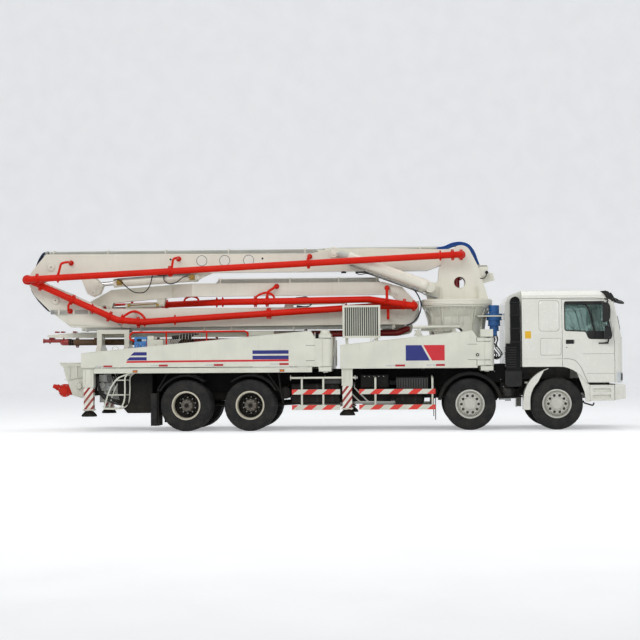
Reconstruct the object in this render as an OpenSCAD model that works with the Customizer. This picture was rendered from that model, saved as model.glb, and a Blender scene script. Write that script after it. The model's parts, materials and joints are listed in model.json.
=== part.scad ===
// Truck-mounted concrete pump with a five-section placing boom, parked with the boom folded.
// X runs forward, Y to the left, Z up. The origin is on the ground under the middle of the truck.

/* [Running gear] */
// Outer diameter of a tyre
tyre_d = 1084; // [1000:4:1120]
// Width of a tyre
tyre_w = 296; // [270:2:310]
// Diameter of the rim flange
rim_d = 604; // [580:2:640]
// Place of the first axle
axle_1_x = 5000; // [4950:10:5050]
// Distance between the two steered axles
steer_gap = 1800; // [1750:10:1900]
// Distance from the second to the third axle
wheelbase = 4600; // [4500:10:4650]
// Distance between the two driven axles
bogie_gap = 1350; // [1300:10:1400]
// Distance between the middles of the front tyres
front_track = 2022; // [2000:2:2040]
// Distance between the middles of the rear twins
rear_track = 1830; // [1800:2:1840]
// Distance between the two tyres of a twin
twin_gap = 340; // [330:1:350]
// Distance of a kingpin from the middle of the truck
kingpin_y = 800; // [780:5:810]
// Radius of a kingpin
kingpin_r = 25; // [20:1:30]

/* [Chassis] */
// Half the width over the frame rails
rail_y = 430; // [410:5:440]
// Height of the underside of the rails
rail_z = 750; // [740:5:770]
// Height of a rail
rail_h = 300; // [280:5:320]
// Width of a rail flange
rail_flange = 85; // [70:1:95]
// Thickness of the rail steel
rail_t = 10; // [8:1:14]
// Thickness of a mudguard
guard_t = 12; // [8:1:20]

// Rear end of the rails
rail_back_x = -4880; // [-4900:5:-4870]
// Front end of the rails
rail_front_x = 6120; // [6100:5:6130]

/* [Superstructure] */
// Half the width over the folded outriggers
body_y = 1250; // [1230:5:1260]
// Height of the top of the subframe
subframe_z = 1290; // [1280:5:1300]
// Height of the deck plates
deck_z = 1620; // [1560:5:1640]
// Thickness of a deck plate
deck_t = 8; // [5:1:12]
// Place of the slewing axis
slew_x = 2975; // [2960:5:2990]
// Outer radius of the slewing ring
ring_r = 765; // [740:5:780]
// Height of the underside of the slewing ring
ring_z = 2638; // [2620:2:2650]
// Height of the slewing ring
ring_h = 120; // [100:2:140]
// Radius of the pedestal
pedestal_r = 575; // [550:5:600]

/* [Boom] */
// Place of the first boom pin
pin0_x = 3069; // [3060:1:3080]
// Height of the first boom pin
pin0_z = 3707; // [3690:1:3720]
// Place of the first knee
knee1_x = -6290; // [-6300:1:-6250]
// Height of the first knee
knee1_z = 3259; // [3240:1:3270]
// Place of the second knee
knee2_x = 2049; // [2030:1:2060]
// Height of the second knee
knee2_z = 2628; // [2615:1:2640]
// Place of the third knee
knee3_x = -5100; // [-5150:5:-5050]
// Height of the third knee
knee3_z = 2600; // [2580:5:2620]
// Place of the fourth knee
knee4_x = 1914; // [1900:1:1930]
// Height of the fourth knee
knee4_z = 2150; // [2140:1:2160]
// Half the width of the first boom section
boom1_y = 200; // [190:1:202]
// Half the width of the second boom section
boom2_y = 170; // [160:1:175]
// Half the width of the third boom section
boom3_y = 150; // [140:1:160]
// Sideways offset of the last two boom sections
side_y = 340; // [336:1:350]
// Radius of a knee pin
knee_pin_r = 45; // [35:1:50]
// Outer radius of the delivery pipe
pipe_r = 70; // [66:1:72]
// Radius of a pipe coupling
coupling_r = 92; // [86:1:94]
// Radius of the flange of the swivel at the first knee
swivel_r = 113; // [105:1:113]
// Outer radius of the end hose
hose_r = 68; // [64:1:70]
// Bore radius of the end hose
hose_bore_r = 56; // [50:1:62]
// Sideways place of the pipe on the first boom section
pipe1_y = -620; // [-625:1:-615]
// Sideways place of the pipe on the second boom section
pipe2_y = -370; // [-380:1:-360]
// Sideways place of the lift cylinders
lift_y = 375; // [374:1:380]
// Outer radius of a lift cylinder
lift_r = 122; // [115:1:124]
// Radius of a lift cylinder's rod
lift_rod_r = 70; // [60:1:75]
// Place of the foot pin of the lift cylinders
lift_foot_x = 2403; // [2395:1:2410]
// Height of the foot pin of the lift cylinders
lift_foot_z = 3029; // [3020:1:3040]
// Place of the rod eyes of the lift cylinders
lift_eye_x = 338; // [330:1:345]
// Height of the rod eyes of the lift cylinders
lift_eye_z = 3797; // [3790:1:3800]

/* [Outriggers] */
// Width of an outrigger beam
beam_w = 320; // [300:5:320]
// Place of the hinges of the rear outriggers
hinge_r_x = 183; // [175:1:190]
// Place of the hinges of the front outriggers
hinge_f_x = 3556; // [3550:1:3560]
// Place of the legs of the rear outriggers
leg_r_x = -4827; // [-4840:1:-4810]
// Place of the legs of the front outriggers
leg_f_x = 640; // [630:1:650]
// Width of a leg housing
leg_w = 226; // [216:2:240]
// Wall of a leg housing
leg_t = 14; // [10:1:16]
// Height of the underside of a leg housing
leg_z = 940; // [930:5:960]
// Radius of a foot plate
foot_r = 160; // [140:5:165]
// Height of the underside of a foot plate
foot_z = 320; // [310:5:340]

/* [Cab] */
// Half the width of the cab
cab_y = 1240; // [1225:5:1240]
// Height of the cab roof
cab_top = 2909; // [2890:1:2920]
// Thickness of the cab walls
cab_t = 48; // [40:1:55]
// Height of the cab floor
floor_z = 1500; // [1490:5:1520]
// Gap round a door
door_gap = 8; // [7:1:10]
// Place of the rear edge of a door
door_back_x = 5116; // [5100:2:5130]
// Place of the front edge of a door
door_front_x = 6183; // [6175:1:6190]
// Height of the lower edge of a door
door_z = 985; // [980:1:1000]

// Place of the pins that the cab tilts on
tilt_x = 6310; // [6300:5:6320]
// Height of the pins that the cab tilts on
tilt_z = 1040; // [1030:5:1050]

/* [Hopper] */
// Half the width of the hopper mouth
hopper_y = 760; // [720:5:780]
// Height of the hopper rim
hopper_z = 1440; // [1420:5:1450]
// Thickness of the hopper plates
hopper_t = 12; // [8:1:16]
// Height of the agitator shaft
shaft_z = 960; // [950:5:980]
// Radius of the agitator shaft
shaft_r = 40; // [30:1:45]

/* [Hidden] */
$fn = 48;
fit = 0.3;
run_gap = 1;
axle_z = tyre_d / 2;
axle_2_x = axle_1_x - steer_gap;
axle_3_x = axle_2_x - wheelbase;
axle_4_x = axle_3_x - bogie_gap;
tyre_bead_r = rim_d / 2 - 16;
spindle_r = 42;
beam_y = body_y - beam_w / 2;
ring_top = ring_z + ring_h;
cream = "#eeece4";
red = "#e0301e";
dark = "#26282a";
steel = "#b8bcbe";

// Outline in X and Z, drawn from y0 to y1
module plate_xz(points, y0, y1) translate([0, y1, 0]) rotate([90, 0, 0]) linear_extrude(y1 - y0)
    polygon(points);
// Outline in Y and Z, drawn from x0 to x1
module plate_yz(points, x0, x1) translate([x0, 0, 0]) rotate([90, 0, 90]) linear_extrude(x1 - x0)
    polygon(points);
// Block between two corners
module block(a, b) translate(a) cube(b - a);
// Round bar along Y
module bar_y(x, z, r, y0, y1) translate([x, y1, z]) rotate([90, 0, 0]) cylinder(h = y1 - y0, r = r);
// Round bar between two points
module bar(p, q, r) {
    v = q - p;
    translate(p) rotate([0, acos(v.z / norm(v)), atan2(v.y, v.x)]) cylinder(h = norm(v), r = r);
}
function unit(v) = v / norm(v);
// Ball at a bend at p between a and b, its seam on the outside of the bend
module bend_ball(a, p, b, r) {
    o = -unit(unit(a - p) + unit(b - p));
    n = unit(cross(a - p, b - p));
    m = cross(n, o);
    multmatrix([[o.x, m.x, n.x, p.x], [o.y, m.y, n.y, p.y], [o.z, m.z, n.z, p.z], [0, 0, 0, 1]])
        sphere(r = r);
}
// Bent tube through points, with a ball at each bend
module tube_run(points, r) {
    for (i = [0:len(points) - 2]) bar(points[i], points[i + 1], r);
    for (i = [1:1:len(points) - 2]) bend_ball(points[i - 1], points[i], points[i + 1], r * 1.04);
}
// A piece and its mirror image on the other side of the truck
module both_sides() { children(); mirror([0, 1, 0]) children(); }
// Points of an arc round c from angle a to angle b
function arc(c, r, a, b, n = 6) = [for (i = [0:n]) c + r * [cos(a + (b - a) * i / n), sin(a +
    (b - a) * i / n)]];

// Wheels
tyre_sides = 36;
shoulder = 38;
// Regular outline with its flats at distance r, one of them at the bottom
function flats(r) = [for (i = [0:tyre_sides - 1]) let (a = 360 * (i + 0.5) / tyre_sides)
    r / cos(180 / tyre_sides) * [cos(a), sin(a)]];
// A tyre: tread band and two sloping shoulders, with flat sides so that all twelve stay light
module tyre() {
    ro = tyre_d / 2;
    crown = tyre_w / 2 - shoulder;
    color(dark) rotate([90, 0, 0]) difference() {
        union() {
            translate([0, 0, -crown]) linear_extrude(2 * crown) polygon(flats(ro));
            for (s = [0, 1]) mirror([0, 0, s]) translate([0, 0, crown - 0.01])
                linear_extrude(height = shoulder, scale = 0.83) polygon(flats(ro));
        }
        translate([0, 0, -tyre_w]) linear_extrude(2 * tyre_w) polygon(flats(tyre_bead_r + fit));
    }
}
// Rim of a steered wheel, its disc bulging outward to +Y
module front_rim() {
    h = tyre_w / 2;
    rb = tyre_bead_r;
    color(steel) difference() {
        rotate([-90, 0, 0]) rotate_extrude() polygon([
            [rb, -h * 0.72], [rim_d / 2, -h * 0.78], [rim_d / 2, -h * 0.82], [rb - 14, -h * 0.80],
                [rb - 30, h * 0.20],
            [192, h * 0.34], [178, h * 0.76], [130, h * 0.86], [110, h * 0.2], [110, -h * 0.4],
                [spindle_r + run_gap, -h * 0.4],
            [spindle_r + run_gap, h], [0, h], [0, h * 1.16], [90, h * 1.16], [95, h * 1.04], [130,
                h * 1.02], [190, h * 0.92],
            [206, h * 0.53], [rb - 24, h * 0.42], [rb - 14, h * 0.80], [rim_d / 2, h * 0.82],
                [rim_d / 2, h * 0.78], [rb, h * 0.72]]);
        for (a = [0:36:324]) rotate([0, a + 18, 0]) translate([160, 0, 0]) rotate([-90, 0, 0])
            cylinder(h = h * 2, r = 17);
    }
    color(dark) rotate([-90, 0, 0]) difference() {
        translate([0, 0, -h * 0.62]) cylinder(h = h * 0.9, r = 215);
        translate([0, 0, -h]) cylinder(h = h * 3, r = 108);
    }
}
// Rims of a driven twin, dished inward, with the hub coming out through the outer dish
module twin_rims() {
    h = tyre_w / 2;
    rb = tyre_bead_r;
    g = twin_gap / 2;
    color(steel) difference() {
        rotate([-90, 0, 0]) rotate_extrude() polygon([
            [rb, -g - h * 0.72], [rim_d / 2, -g - h * 0.78], [rim_d / 2, -g - h * 0.84],
                [rb - 14, -g - h * 0.80],
            [rb - 30, -20], [205, -10], [120, -10], [120, -h - 20], [spindle_r + run_gap, -h - 20],
                [spindle_r + run_gap, g + h * 0.5],
            [0, g + h * 0.5], [0, g + h * 0.62], [90, g + h * 0.62], [110, g + 20], [135, 60], [150,
                22], [205, 10], [rb - 30, 20],
            [rb - 14, g + h * 0.80], [rim_d / 2, g + h * 0.84], [rim_d / 2, g + h * 0.78], [rb, g +
                h * 0.72]]);
        for (a = [0:45:315]) rotate([0, a, 0]) translate([180, -50, 0]) rotate([-90, 0, 0])
            cylinder(h = 100, r = 20);
    }
}
// A wheel at an axle: side is 1 on the left and -1 on the right
module steered_wheel(x, side) translate([x, side * front_track / 2, axle_z]) mirror([0, side < 0 ? 1 :
    0, 0]) {
    tyre();
    front_rim();
}
module twin_wheel(x, side) translate([x, side * rear_track / 2, axle_z]) mirror([0, side < 0 ? 1 : 0, 0]) {
    for (s = [-1, 1]) translate([0, s * twin_gap / 2, 0]) tyre();
    twin_rims();
}
// Steering knuckle: fork round the kingpin, brake plate and spindle
module knuckle(x, side) mirror([0, side < 0 ? 1 : 0, 0]) color(dark) {
    inner = front_track / 2 - tyre_w * 0.31 - 5;
    difference() {
        union() {
            for (z = [axle_z - 112, axle_z + 76]) translate([x, kingpin_y, z]) cylinder(h = 36, r = 46);
            for (z = [axle_z - 112, axle_z + 76]) block([x - 46, kingpin_y, z], [x + 46, inner, z + 36]);
            block([x - 46, inner - 22, axle_z - 112], [x + 46, inner, axle_z + 112]);
            bar_y(x, axle_z, 105, inner - 22, inner - 1);
            bar_y(x, axle_z, spindle_r, inner - 10, front_track / 2 + tyre_w / 2 * 1.16 - 30);
            block([x - 260, kingpin_y - 18, axle_z - 112], [x, kingpin_y + 18, axle_z - 76]);
        }
        translate([x, kingpin_y, axle_z - 200]) cylinder(h = 400, r = kingpin_r + fit);
    }
}
// Front axles: forged beams with a dropped middle, kingpins, leaf springs and hangers
module front_axles() color(dark) for (x = [axle_1_x, axle_2_x]) {
    both_sides() {
        translate([x, kingpin_y, axle_z - 75]) cylinder(h = 150, r = 44);
        translate([x, kingpin_y, axle_z - 116]) cylinder(h = 232, r = kingpin_r);
        leaf_spring(x, 780, rail_y - 6, axle_z + 35, 90);
    }
    plate_yz([[-kingpin_y, axle_z - 60], [-620, axle_z - 60], [-520, axle_z - 110], [520, axle_z - 110],
        [620, axle_z - 60], [kingpin_y, axle_z - 60], [kingpin_y, axle_z + 60], [560, axle_z + 60],
        [470, axle_z + 5], [-470, axle_z + 5], [-560, axle_z + 60], [-kingpin_y, axle_z + 60]], x - 42,
            x + 42);
    for (s = [-1, 1]) block([x - 70, s * (rail_y + 30) - 46, axle_z + 4], [x + 70, s * (rail_y + 30) +
        46, axle_z + 40]);
}
// A leaf spring over an axle, hung from brackets under the rail
module leaf_spring(x, half, y, z, w) {
    for (i = [0:5]) plate_xz([[x - half + i * 110, z + 100 - i * 16], [x - 60, z + i * 16], [x + 60, z +
        i * 16],
        [x + half - i * 110, z + 100 - i * 16], [x + half - i * 110, z + 112 - i * 16], [x + 60, z + 15 +
            i * 16],
        [x - 60, z + 15 + i * 16], [x - half + i * 110, z + 112 - i * 16]], y, y + w);
    for (s = [-1, 1]) plate_xz([[x + s * half - 40, z + 90], [x + s * half + 40, z + 90], [x + s * half +
        60, rail_z + 150],
        [x + s * half - 60, rail_z + 150]], y + 6.5, y + w);
}
// Driven axles: banjo housings, half tubes, spindles, springs on a trunnion
module rear_axles() color(dark) {
    for (x = [axle_3_x, axle_4_x]) {
        bar_y(x, axle_z, 78, -rear_track / 2 + twin_gap / 2 + 40, rear_track / 2 - twin_gap / 2 - 40);
        bar_y(x, axle_z, spindle_r, -rear_track / 2 - twin_gap / 2 - 60, rear_track / 2 + twin_gap / 2 +
            60);
        translate([x, 0, axle_z]) sphere(r = 225);
        translate([x, 0, axle_z]) rotate([0, 90, 0]) cylinder(h = 330, r = 90);
        for (s = [-1, 1]) block([x - 75, s * (rail_y + 50) - 46, axle_z + 60], [x + 75, s * (rail_y +
            50) + 46, axle_z + 130]);
    }
    xm = (axle_3_x + axle_4_x) / 2;
    both_sides() {
        for (i = [0:6]) block([axle_4_x - 90 + i * 80, rail_y + 8, axle_z + 130 + i * 18], [axle_3_x +
            90 - i * 80, rail_y + 96, axle_z + 147 + i * 18]);
        plate_xz([[xm - 170, axle_z + 90], [xm + 170, axle_z + 90], [xm + 90, axle_z + 256], [xm + 120,
            rail_z + 250], [xm - 120, rail_z + 250], [xm - 90, axle_z + 256]],
            rail_y, rail_y + 20);
        bar_y(xm, axle_z + 180, 60, rail_y, rail_y + 110);
    }
}
module driveline() color(dark) {
    bar([3481, 0, 770], [axle_3_x + 331, 0, axle_z + 10], 62);
    bar([axle_3_x - 226, 0, axle_z + 40], [axle_4_x + 331, 0, axle_z], 52);
    block([3480, -210, 660], [4040, 210, 1040]);
}
// The engine, one plain block at its real place and size
module engine() color(dark) difference() {
    block([4060, -335, 700], [5360, 335, 1400]);
    block([axle_1_x - 90, -400, 600], [axle_1_x + 90, 400, 730]);
}
module engine_feet() color(dark) both_sides() for (x = [4300, 5150]) block([x, 334, rail_z + rail_h],
    [x + 120, 400, rail_z + rail_h + 50]);
// Chassis: two channel rails with cross members and a towing cross member behind the bumper
tow_y = 388;
tow_r = 21;
module rail() {
    difference() {
        block([rail_back_x, rail_y - rail_flange, rail_z], [rail_front_x, rail_y, rail_z + rail_h]);
        block([rail_back_x - 1, rail_y - rail_flange - 1, rail_z + rail_t], [rail_front_x + 1,
            rail_y - rail_t, rail_z + rail_h - rail_t]);
    }
}
module chassis_frame() color(dark) {
    both_sides() rail();
    for (x = [rail_back_x, -3500, -2075, -600, 700, 1900, 2700, 6000])
        block([x, -rail_y + rail_t - 1, rail_z + 60], [x + 100, rail_y - rail_t + 1, rail_z + 240]);
    block([5500, -rail_y + rail_t - 1, rail_z + 10], [5600, rail_y - rail_t + 1, rail_z + 60]);
    // Brackets of the bumper, each with a towing jaw for a pin from below
    both_sides() {
        block([6080, 300, 640], [6190, 345, 1000]);
        difference() {
            block([6080, 344, 640], [6190, 430, 685]);
            translate([6145, tow_y, 600]) cylinder(h = 120, r = tow_r);
        }
    }
    // Lugs and pins that the cab tilts on
    both_sides() {
        plate_xz(concat([[6050, 985], [6200, 985], [tilt_x - 5, tilt_z - tilt_lug_r]], arc([tilt_x,
            tilt_z], tilt_lug_r, -80, 90, 6), [[6050, 1048]]), 345, 375);
        bar_y(tilt_x, tilt_z, tilt_pin_r, 320, 350);
    }
}
// Mudguards: [axle place, inner radius, first angle, last angle, inner y, outer y]
guard_table = [[axle_2_x, 668, 12, 168, 850, 1190], [axle_3_x, 640, 30, 128, 640, 1215], [axle_4_x, 640,
    52, 150, 640, 1215]];
module mudguards() {
    color(dark) both_sides() {
        for (g = guard_table) plate_xz(concat(arc([g[0], axle_z], g[1] + guard_t, g[2], g[3], 10),
            arc([g[0], axle_z], g[1], g[3], g[2], 10)), g[4], g[5]);
        for (x = [axle_2_x - 640, axle_2_x + 590]) block([x, rail_y, 860], [x + 50, 855, 900]);
        for (x = [axle_3_x + 540, axle_4_x - 580]) block([x, rail_y, 830], [x + 40, 1100, 870]);
        block([axle_4_x - 600, 640, 850], [axle_4_x - 560, 1215, 885]);
        plate_xz([[axle_4_x - 600, 120], [axle_4_x - 585, 120], [axle_4_x - 585, 870], [axle_4_x - 600,
            870]], 640, 1215);
    }
    color(cream) both_sides() {
        plate_xz(concat(arc([axle_1_x, 600], 700, 105, 180, 8), [[axle_1_x - 700, 420], [axle_1_x - 688,
            420]],
            arc([axle_1_x, 600], 688, 180, 105, 8)), 900, 1230);
        plate_xz(concat(arc([axle_1_x, 600], 700, 112, 180, 8), [[axle_1_x - 700, 420], [axle_1_x - 560,
            420]],
            arc([axle_1_x, 600], 560, 180, 135, 5)), 1215, 1230);
        block([axle_1_x - 640, rail_y, 960], [axle_1_x - 584, 905, 1000]);
    }
}
// Fuel, air and urea tanks and the battery box
module tanks() color(dark) {
    both_sides() bar([1560, 640, 760], [2180, 640, 760], 150);
    both_sides() for (x = [1660, 2060]) block([x, rail_y, 740], [x + 40, 500, 900]);
    translate([-4130, 0, 0]) both_sides() plate_xz([[0, 480], [90, 380], [560, 380], [620, 440], [620,
        1180], [560, 1230], [60, 1230], [0, 1160]], rail_y, 900);
    block([-300, rail_y, 600], [420, 900, 990]);
}

// Air filter with its tall intake behind the cab on the right, and the silencer on the left
intake_x = 4055;
intake_y = 975;
module air_intake() color(dark) mirror([0, 1, 0]) {
    block([3930, 760, 900], [4270, 1150, 1250]);
    block([3960, intake_y, 1249], [intake_x + 195, 1200, 1800]);
    block([intake_x, intake_y, 1799], [intake_x + 190, 1200, 2680]);
    bar_y(intake_x + 95, 2680, 95, intake_y, 1200);
    block([intake_x, rail_y, 930], [intake_x + 90, 761, 990]);
}
module silencer() color(dark) {
    bar([3900, 730, 800], [4290, 730, 800], 190);
    block([intake_x, rail_y, 780], [intake_x + 90, 600, 840]);
}
// Bars beside the rails that carry the rear lamps
module lamp_bars() color(dark) both_sides() {
    block([rail_back_x + 10, rail_y, 800], [rail_back_x + 50, 940, 880]);
    block([rail_back_x - 20, 640, 790], [rail_back_x + 10, 930, 890]);
}

// Superstructure
beam_under = 1352;
module subframe() color(cream) {
    difference() {
        block([rail_back_x, -rail_y, rail_z + rail_h], [3640, rail_y, subframe_z]);
        block([rail_back_x + 10, -rail_y + 90, rail_z + rail_h - 1], [3540, rail_y - 90, subframe_z - 60]);
    }
    both_sides() {
        // Hinge cheeks of the rear and front outriggers
        for (h = [hinge_r_x, hinge_f_x]) difference() {
            union() {
                for (z = [[1236, 1338], [1936, 2020]]) {
                    block([h - 130, beam_y - 200, z[0]], [h + 130, beam_y, z[1]]);
                    translate([h, beam_y, z[0]]) cylinder(h = z[1] - z[0], r = 130);
                }
                plate_yz([[rail_y, 1236], [beam_y - 190, 1236], [beam_y - 190, 2020], [rail_y + 190,
                    2020], [rail_y, 1800]], h - 130, h + 130);
            }
            translate([h, beam_y, 1000]) cylinder(h = 1200, r = 50 + fit);
        }
        for (h = [hinge_r_x, hinge_f_x]) translate([h, beam_y, 1216]) cylinder(h = 830, r = 50);
    }
}
deck_in_y = 405;
module deck() {
    color(cream) both_sides() {
        block([-4700, body_y - 40, 1230], [-90, body_y - 5, 1335]);
        for (x = [-4690, -3480, -620, -150]) block([x, rail_y, 1236], [x + 50, body_y - 20, 1290]);
        for (p = [[-4780, -100], [500, 2300]]) block([p[0], deck_in_y, deck_z], [p[1], beam_y - 180,
            deck_z + deck_t]);
        for (x = [-4300, -3000, -1800, -600, 600, 2200]) {
            block([x, rail_y, 1236], [x + 60, beam_y - 180, 1290]);
            block([x, 640, 1289], [x + 60, 700, deck_z]);
        }
    }
}
// Pump unit: two delivery cylinders, the water box and two drive cylinders in line
module pump_unit() color(cream) {
    both_sides() {
        bar([-4550, 150, 1440], [-2200, 150, 1440], 125);
        bar([-1500, 150, 1440], [200, 150, 1440], 85);
    }
    block([-2205, -300, 1290], [-1495, 300, 1590]);
    block([-4560, -300, 1290], [-4400, 300, 1600]);
    block([190, -280, 1290], [320, 280, 1560]);
}
// Side guard boards: [first x, last x], and the places of their posts
guard_boards = [[-517, 493], [891, 2482]];
guard_posts = [-330, 120, 1210, 2400];
module side_guards() color(cream) both_sides() {
    for (b = guard_boards, z = [438, 763]) block([b[0], 1175, z], [b[1], 1200, z + 104]);
    for (x = guard_posts) {
        block([x, 1135, 438], [x + 40, 1175, 1130]);
        block([x, rail_y, 1000], [x + 40, 1175, 1040]);
    }
    bar([-550, 1150, 1110], [480, 1150, 1110], 22);
}
module ladders() color(cream) both_sides() {
    for (y = [1000, 1200]) tube_run([[-4000, y, 1212], [-4250, y, 1130], [-4480, y, 480], [-4100, y,
        480], [-4000, y, 700], [-4000, y, 1212]], 17);
    for (y = [1000, 1200]) bar([-4000, y, 1200], [-4000, y, 1230], 17);
    for (z = [640, 880, 1100]) {
        x = -4480 + (z - 480) * 230 / 650;
        bar([x, 1000, z], [x, 1200, z], 16);
        bar([-4010, 1000, z], [-4010, 1200, z], 16);
    }
    for (y = [1000, 1200]) bar([-4402, y, 700], [-4005, y, 700], 14);
}
// Boom rest: two posts and a saddle beam behind them
rest_foot = subframe_z + fit;
rest_neck = [-250, 130];
rest_lip_z = 2170;
module boom_rest() color(cream) {
    for (x = [-4830, -4230]) {
        plate_yz([[-400, rest_foot], [-310, rest_foot], [-310, 1660], [310, 1660], [310, rest_foot],
            [400, rest_foot], [400, 1720], [rest_neck[1], 1850], [rest_neck[1], 2081],
            [rest_neck[0], 2081], [rest_neck[0], 1850], [-400, 1720]], x, x + 105);
    }
    block([-4830, -250, 2080], [-4125, 180, 2125]);
    for (y = [-250, 140]) block([-4830, y, 2124], [-4125, y + 40, rest_lip_z]);
}
module handrail() color(red) {
    tube_run([[-4080, -800, 1760], [-4120, -800, 1900], [-4060, -800, 2090], [-3960, -800, 2106],
        [-1560, -800, 2106], [-1500, -800, 2040], [-1500, -800, deck_z + deck_t]], 19);
    for (x = [-3240, -2380]) bar([x, -800, deck_z + deck_t], [x, -800, 2100], 17);
}
module oil_cooler() {
    color(cream) difference() {
        block([546, -1010, 1940], [1340, -880, 2630]);
        block([590, -1020, 1985], [1296, -870, 2585]);
    }
    color("#6a6e68") block([589, -970, 1984], [1297, -920, 2586]);
    color("#6a6e68") for (x = [620:45:1260]) block([x, -985, 1984], [x + 12, -969, 2586]);
    color(cream) for (x = [600, 1230]) block([x, -900, deck_z + deck_t], [x + 60, -860, 1941]);
}
module cabinets() {
    color(cream) block([-3640, -780, deck_z + deck_t], [-3300, -440, 1940]);
    color("#2f74b5") block([-3920, -780, deck_z + deck_t], [-3645, -560, 1890]);
    color(cream) block([-2900, 300, deck_z + deck_t], [-1300, 880, 1820]);
    color(cream) block([700, 420, deck_z + deck_t], [1900, 880, 1820]);
}
drive_x = 3762;
drive_y = -330;
module slew_drive() color("#1c63b0") translate([drive_x, drive_y, 0]) {
    for (s = [[1960, 2090, 62], [2088, 2200, 98], [2198, 2320, 128], [2318, 2411, 158], [2410, 2434,
        175], [2433, 2600, 110]])
        translate([0, 0, s[0]]) cylinder(h = s[1] - s[0], r = s[2]);
}

// Pedestal: ribbed column with round-topped openings, flared to the slewing ring
pedestal_z = 1290;
module pedestal() color(cream) difference() {
    union() {
        translate([slew_x, 0, pedestal_z]) rotate_extrude() polygon([[0, 0], [pedestal_r + 40, 0],
            [pedestal_r, 500],
            [pedestal_r, 1100], [ring_r - 90, ring_z - pedestal_z - 60], [ring_r - 90,
                ring_z - pedestal_z - fit], [0, ring_z - pedestal_z - fit]]);
        for (a = [0:30:330]) translate([slew_x, 0, 0]) rotate([0, 0, a])
            plate_xz([[pedestal_r - 20, 2000], [pedestal_r + 10, 2000], [ring_r - 100, 2560],
                [ring_r - 100, 2600], [pedestal_r - 20, 2600]], -8, 8);
        block([3400, -500, 2380], [3915, -160, 2410]);
    }
    translate([slew_x, 0, pedestal_z + 60]) cylinder(h = 1260, r = pedestal_r - 45);
    for (a = [-90, 90, 200]) translate([slew_x, 0, 0]) rotate([0, 0, a]) {
        translate([300, 0, 2050]) rotate([0, 90, 0]) cylinder(h = 500, r = 110);
        block([300, -110, 1750], [800, 110, 2050]);
    }
    translate([drive_x, drive_y, 2300]) cylinder(h = 200, r = 160);
}
// Turret: ring, two side plates with round heads, webs and the foot lugs of the lift cylinders
turret_plate_in = 212;
turret_plate_t = 28;
module turret() color(cream) {
    difference() {
        translate([slew_x, 0, ring_z]) cylinder(h = ring_h, r = ring_r);
        translate([slew_x, 0, ring_z - 1]) cylinder(h = ring_h - 30, r = 420);
    }
    difference() {
        union() {
            both_sides() {
                plate_xz(concat([[slew_x - 450, ring_top - 1], [slew_x + 680, ring_top - 1], [slew_x +
                    560, 3150], [3440, 3470]],
                    arc([pin0_x, pin0_z], 225, 20, 175, 10), [[slew_x - 370, 3460], [slew_x - 400, 3150]]),
                    turret_plate_in, turret_plate_in + turret_plate_t);
                plate_xz([[lift_foot_x - 110, lift_foot_z], [lift_foot_x - 60, lift_foot_z + 90],
                    [lift_foot_x + 60, lift_foot_z + 100],
                    [slew_x - 380, 3150], [slew_x - 380, ring_top - 1], [lift_foot_x - 40,
                        ring_top - 1], [lift_foot_x - 110, lift_foot_z - 60]],
                    turret_plate_in, turret_plate_in + turret_plate_t);
            }
            block([slew_x - 440, -turret_plate_in - 1, ring_top - 1], [slew_x - 400, turret_plate_in +
                1, 3130]);
            block([slew_x + 500, -turret_plate_in - 1, ring_top - 1], [slew_x + 540, turret_plate_in +
                1, 3160]);
            plate_xz([[3480, 3100], [3800, 3180], [3760, 3330], [3440, 3400]], -60, 60);
            block([3440, -turret_plate_in - 1, 3090], [3482, turret_plate_in + 1, 3420]);
        }
        bar_y(3040, 3130, 120, -300, 300);
        bar_y(pin0_x, pin0_z, knee_pin_r + fit + 25, -300, 300);
    }
    both_sides() bar_y(lift_foot_x, lift_foot_z, 55, turret_plate_in, lift_y + 62);
}
lift_len = norm([lift_eye_x - lift_foot_x, lift_eye_z - lift_foot_z]);
lift_turn = atan2(lift_eye_z - lift_foot_z, lift_foot_x - lift_eye_x);
barrel_len = lift_len - 330;
// Places its children on the line from the foot pin to the rod eye, along their own X
module on_lift_line() translate([lift_foot_x, 0, lift_foot_z]) rotate([0, lift_turn, 0]) mirror([1, 0,
    0]) children();
module lift_barrels() color(cream) on_lift_line() both_sides() difference() {
    union() {
        bar([70, lift_y, 0], [barrel_len, lift_y, 0], lift_r);
        bar_y(0, 0, 115, lift_y - 60, lift_y + 60);
        bar([120, lift_y, -lift_r - 16], [barrel_len - 80, lift_y, -lift_r - 16], 14);
        for (x = [150, barrel_len - 120]) bar([x, lift_y, -lift_r - 20], [x, lift_y, 0], 16);
    }
    bar_y(0, 0, 55 + fit, 0, 600);
    bar([160, lift_y, 0], [barrel_len + 1, lift_y, 0], lift_rod_r + fit);
}
module lift_rods() color(cream) on_lift_line() both_sides() {
    color(steel) bar([600, lift_y, 0], [lift_len - 60, lift_y, 0], lift_rod_r);
    difference() {
        bar_y(lift_len, 0, 112, lift_y - 62, lift_y + 62);
        bar_y(lift_len, 0, 80, lift_y + 50, lift_y + 70);
    }
}

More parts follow.
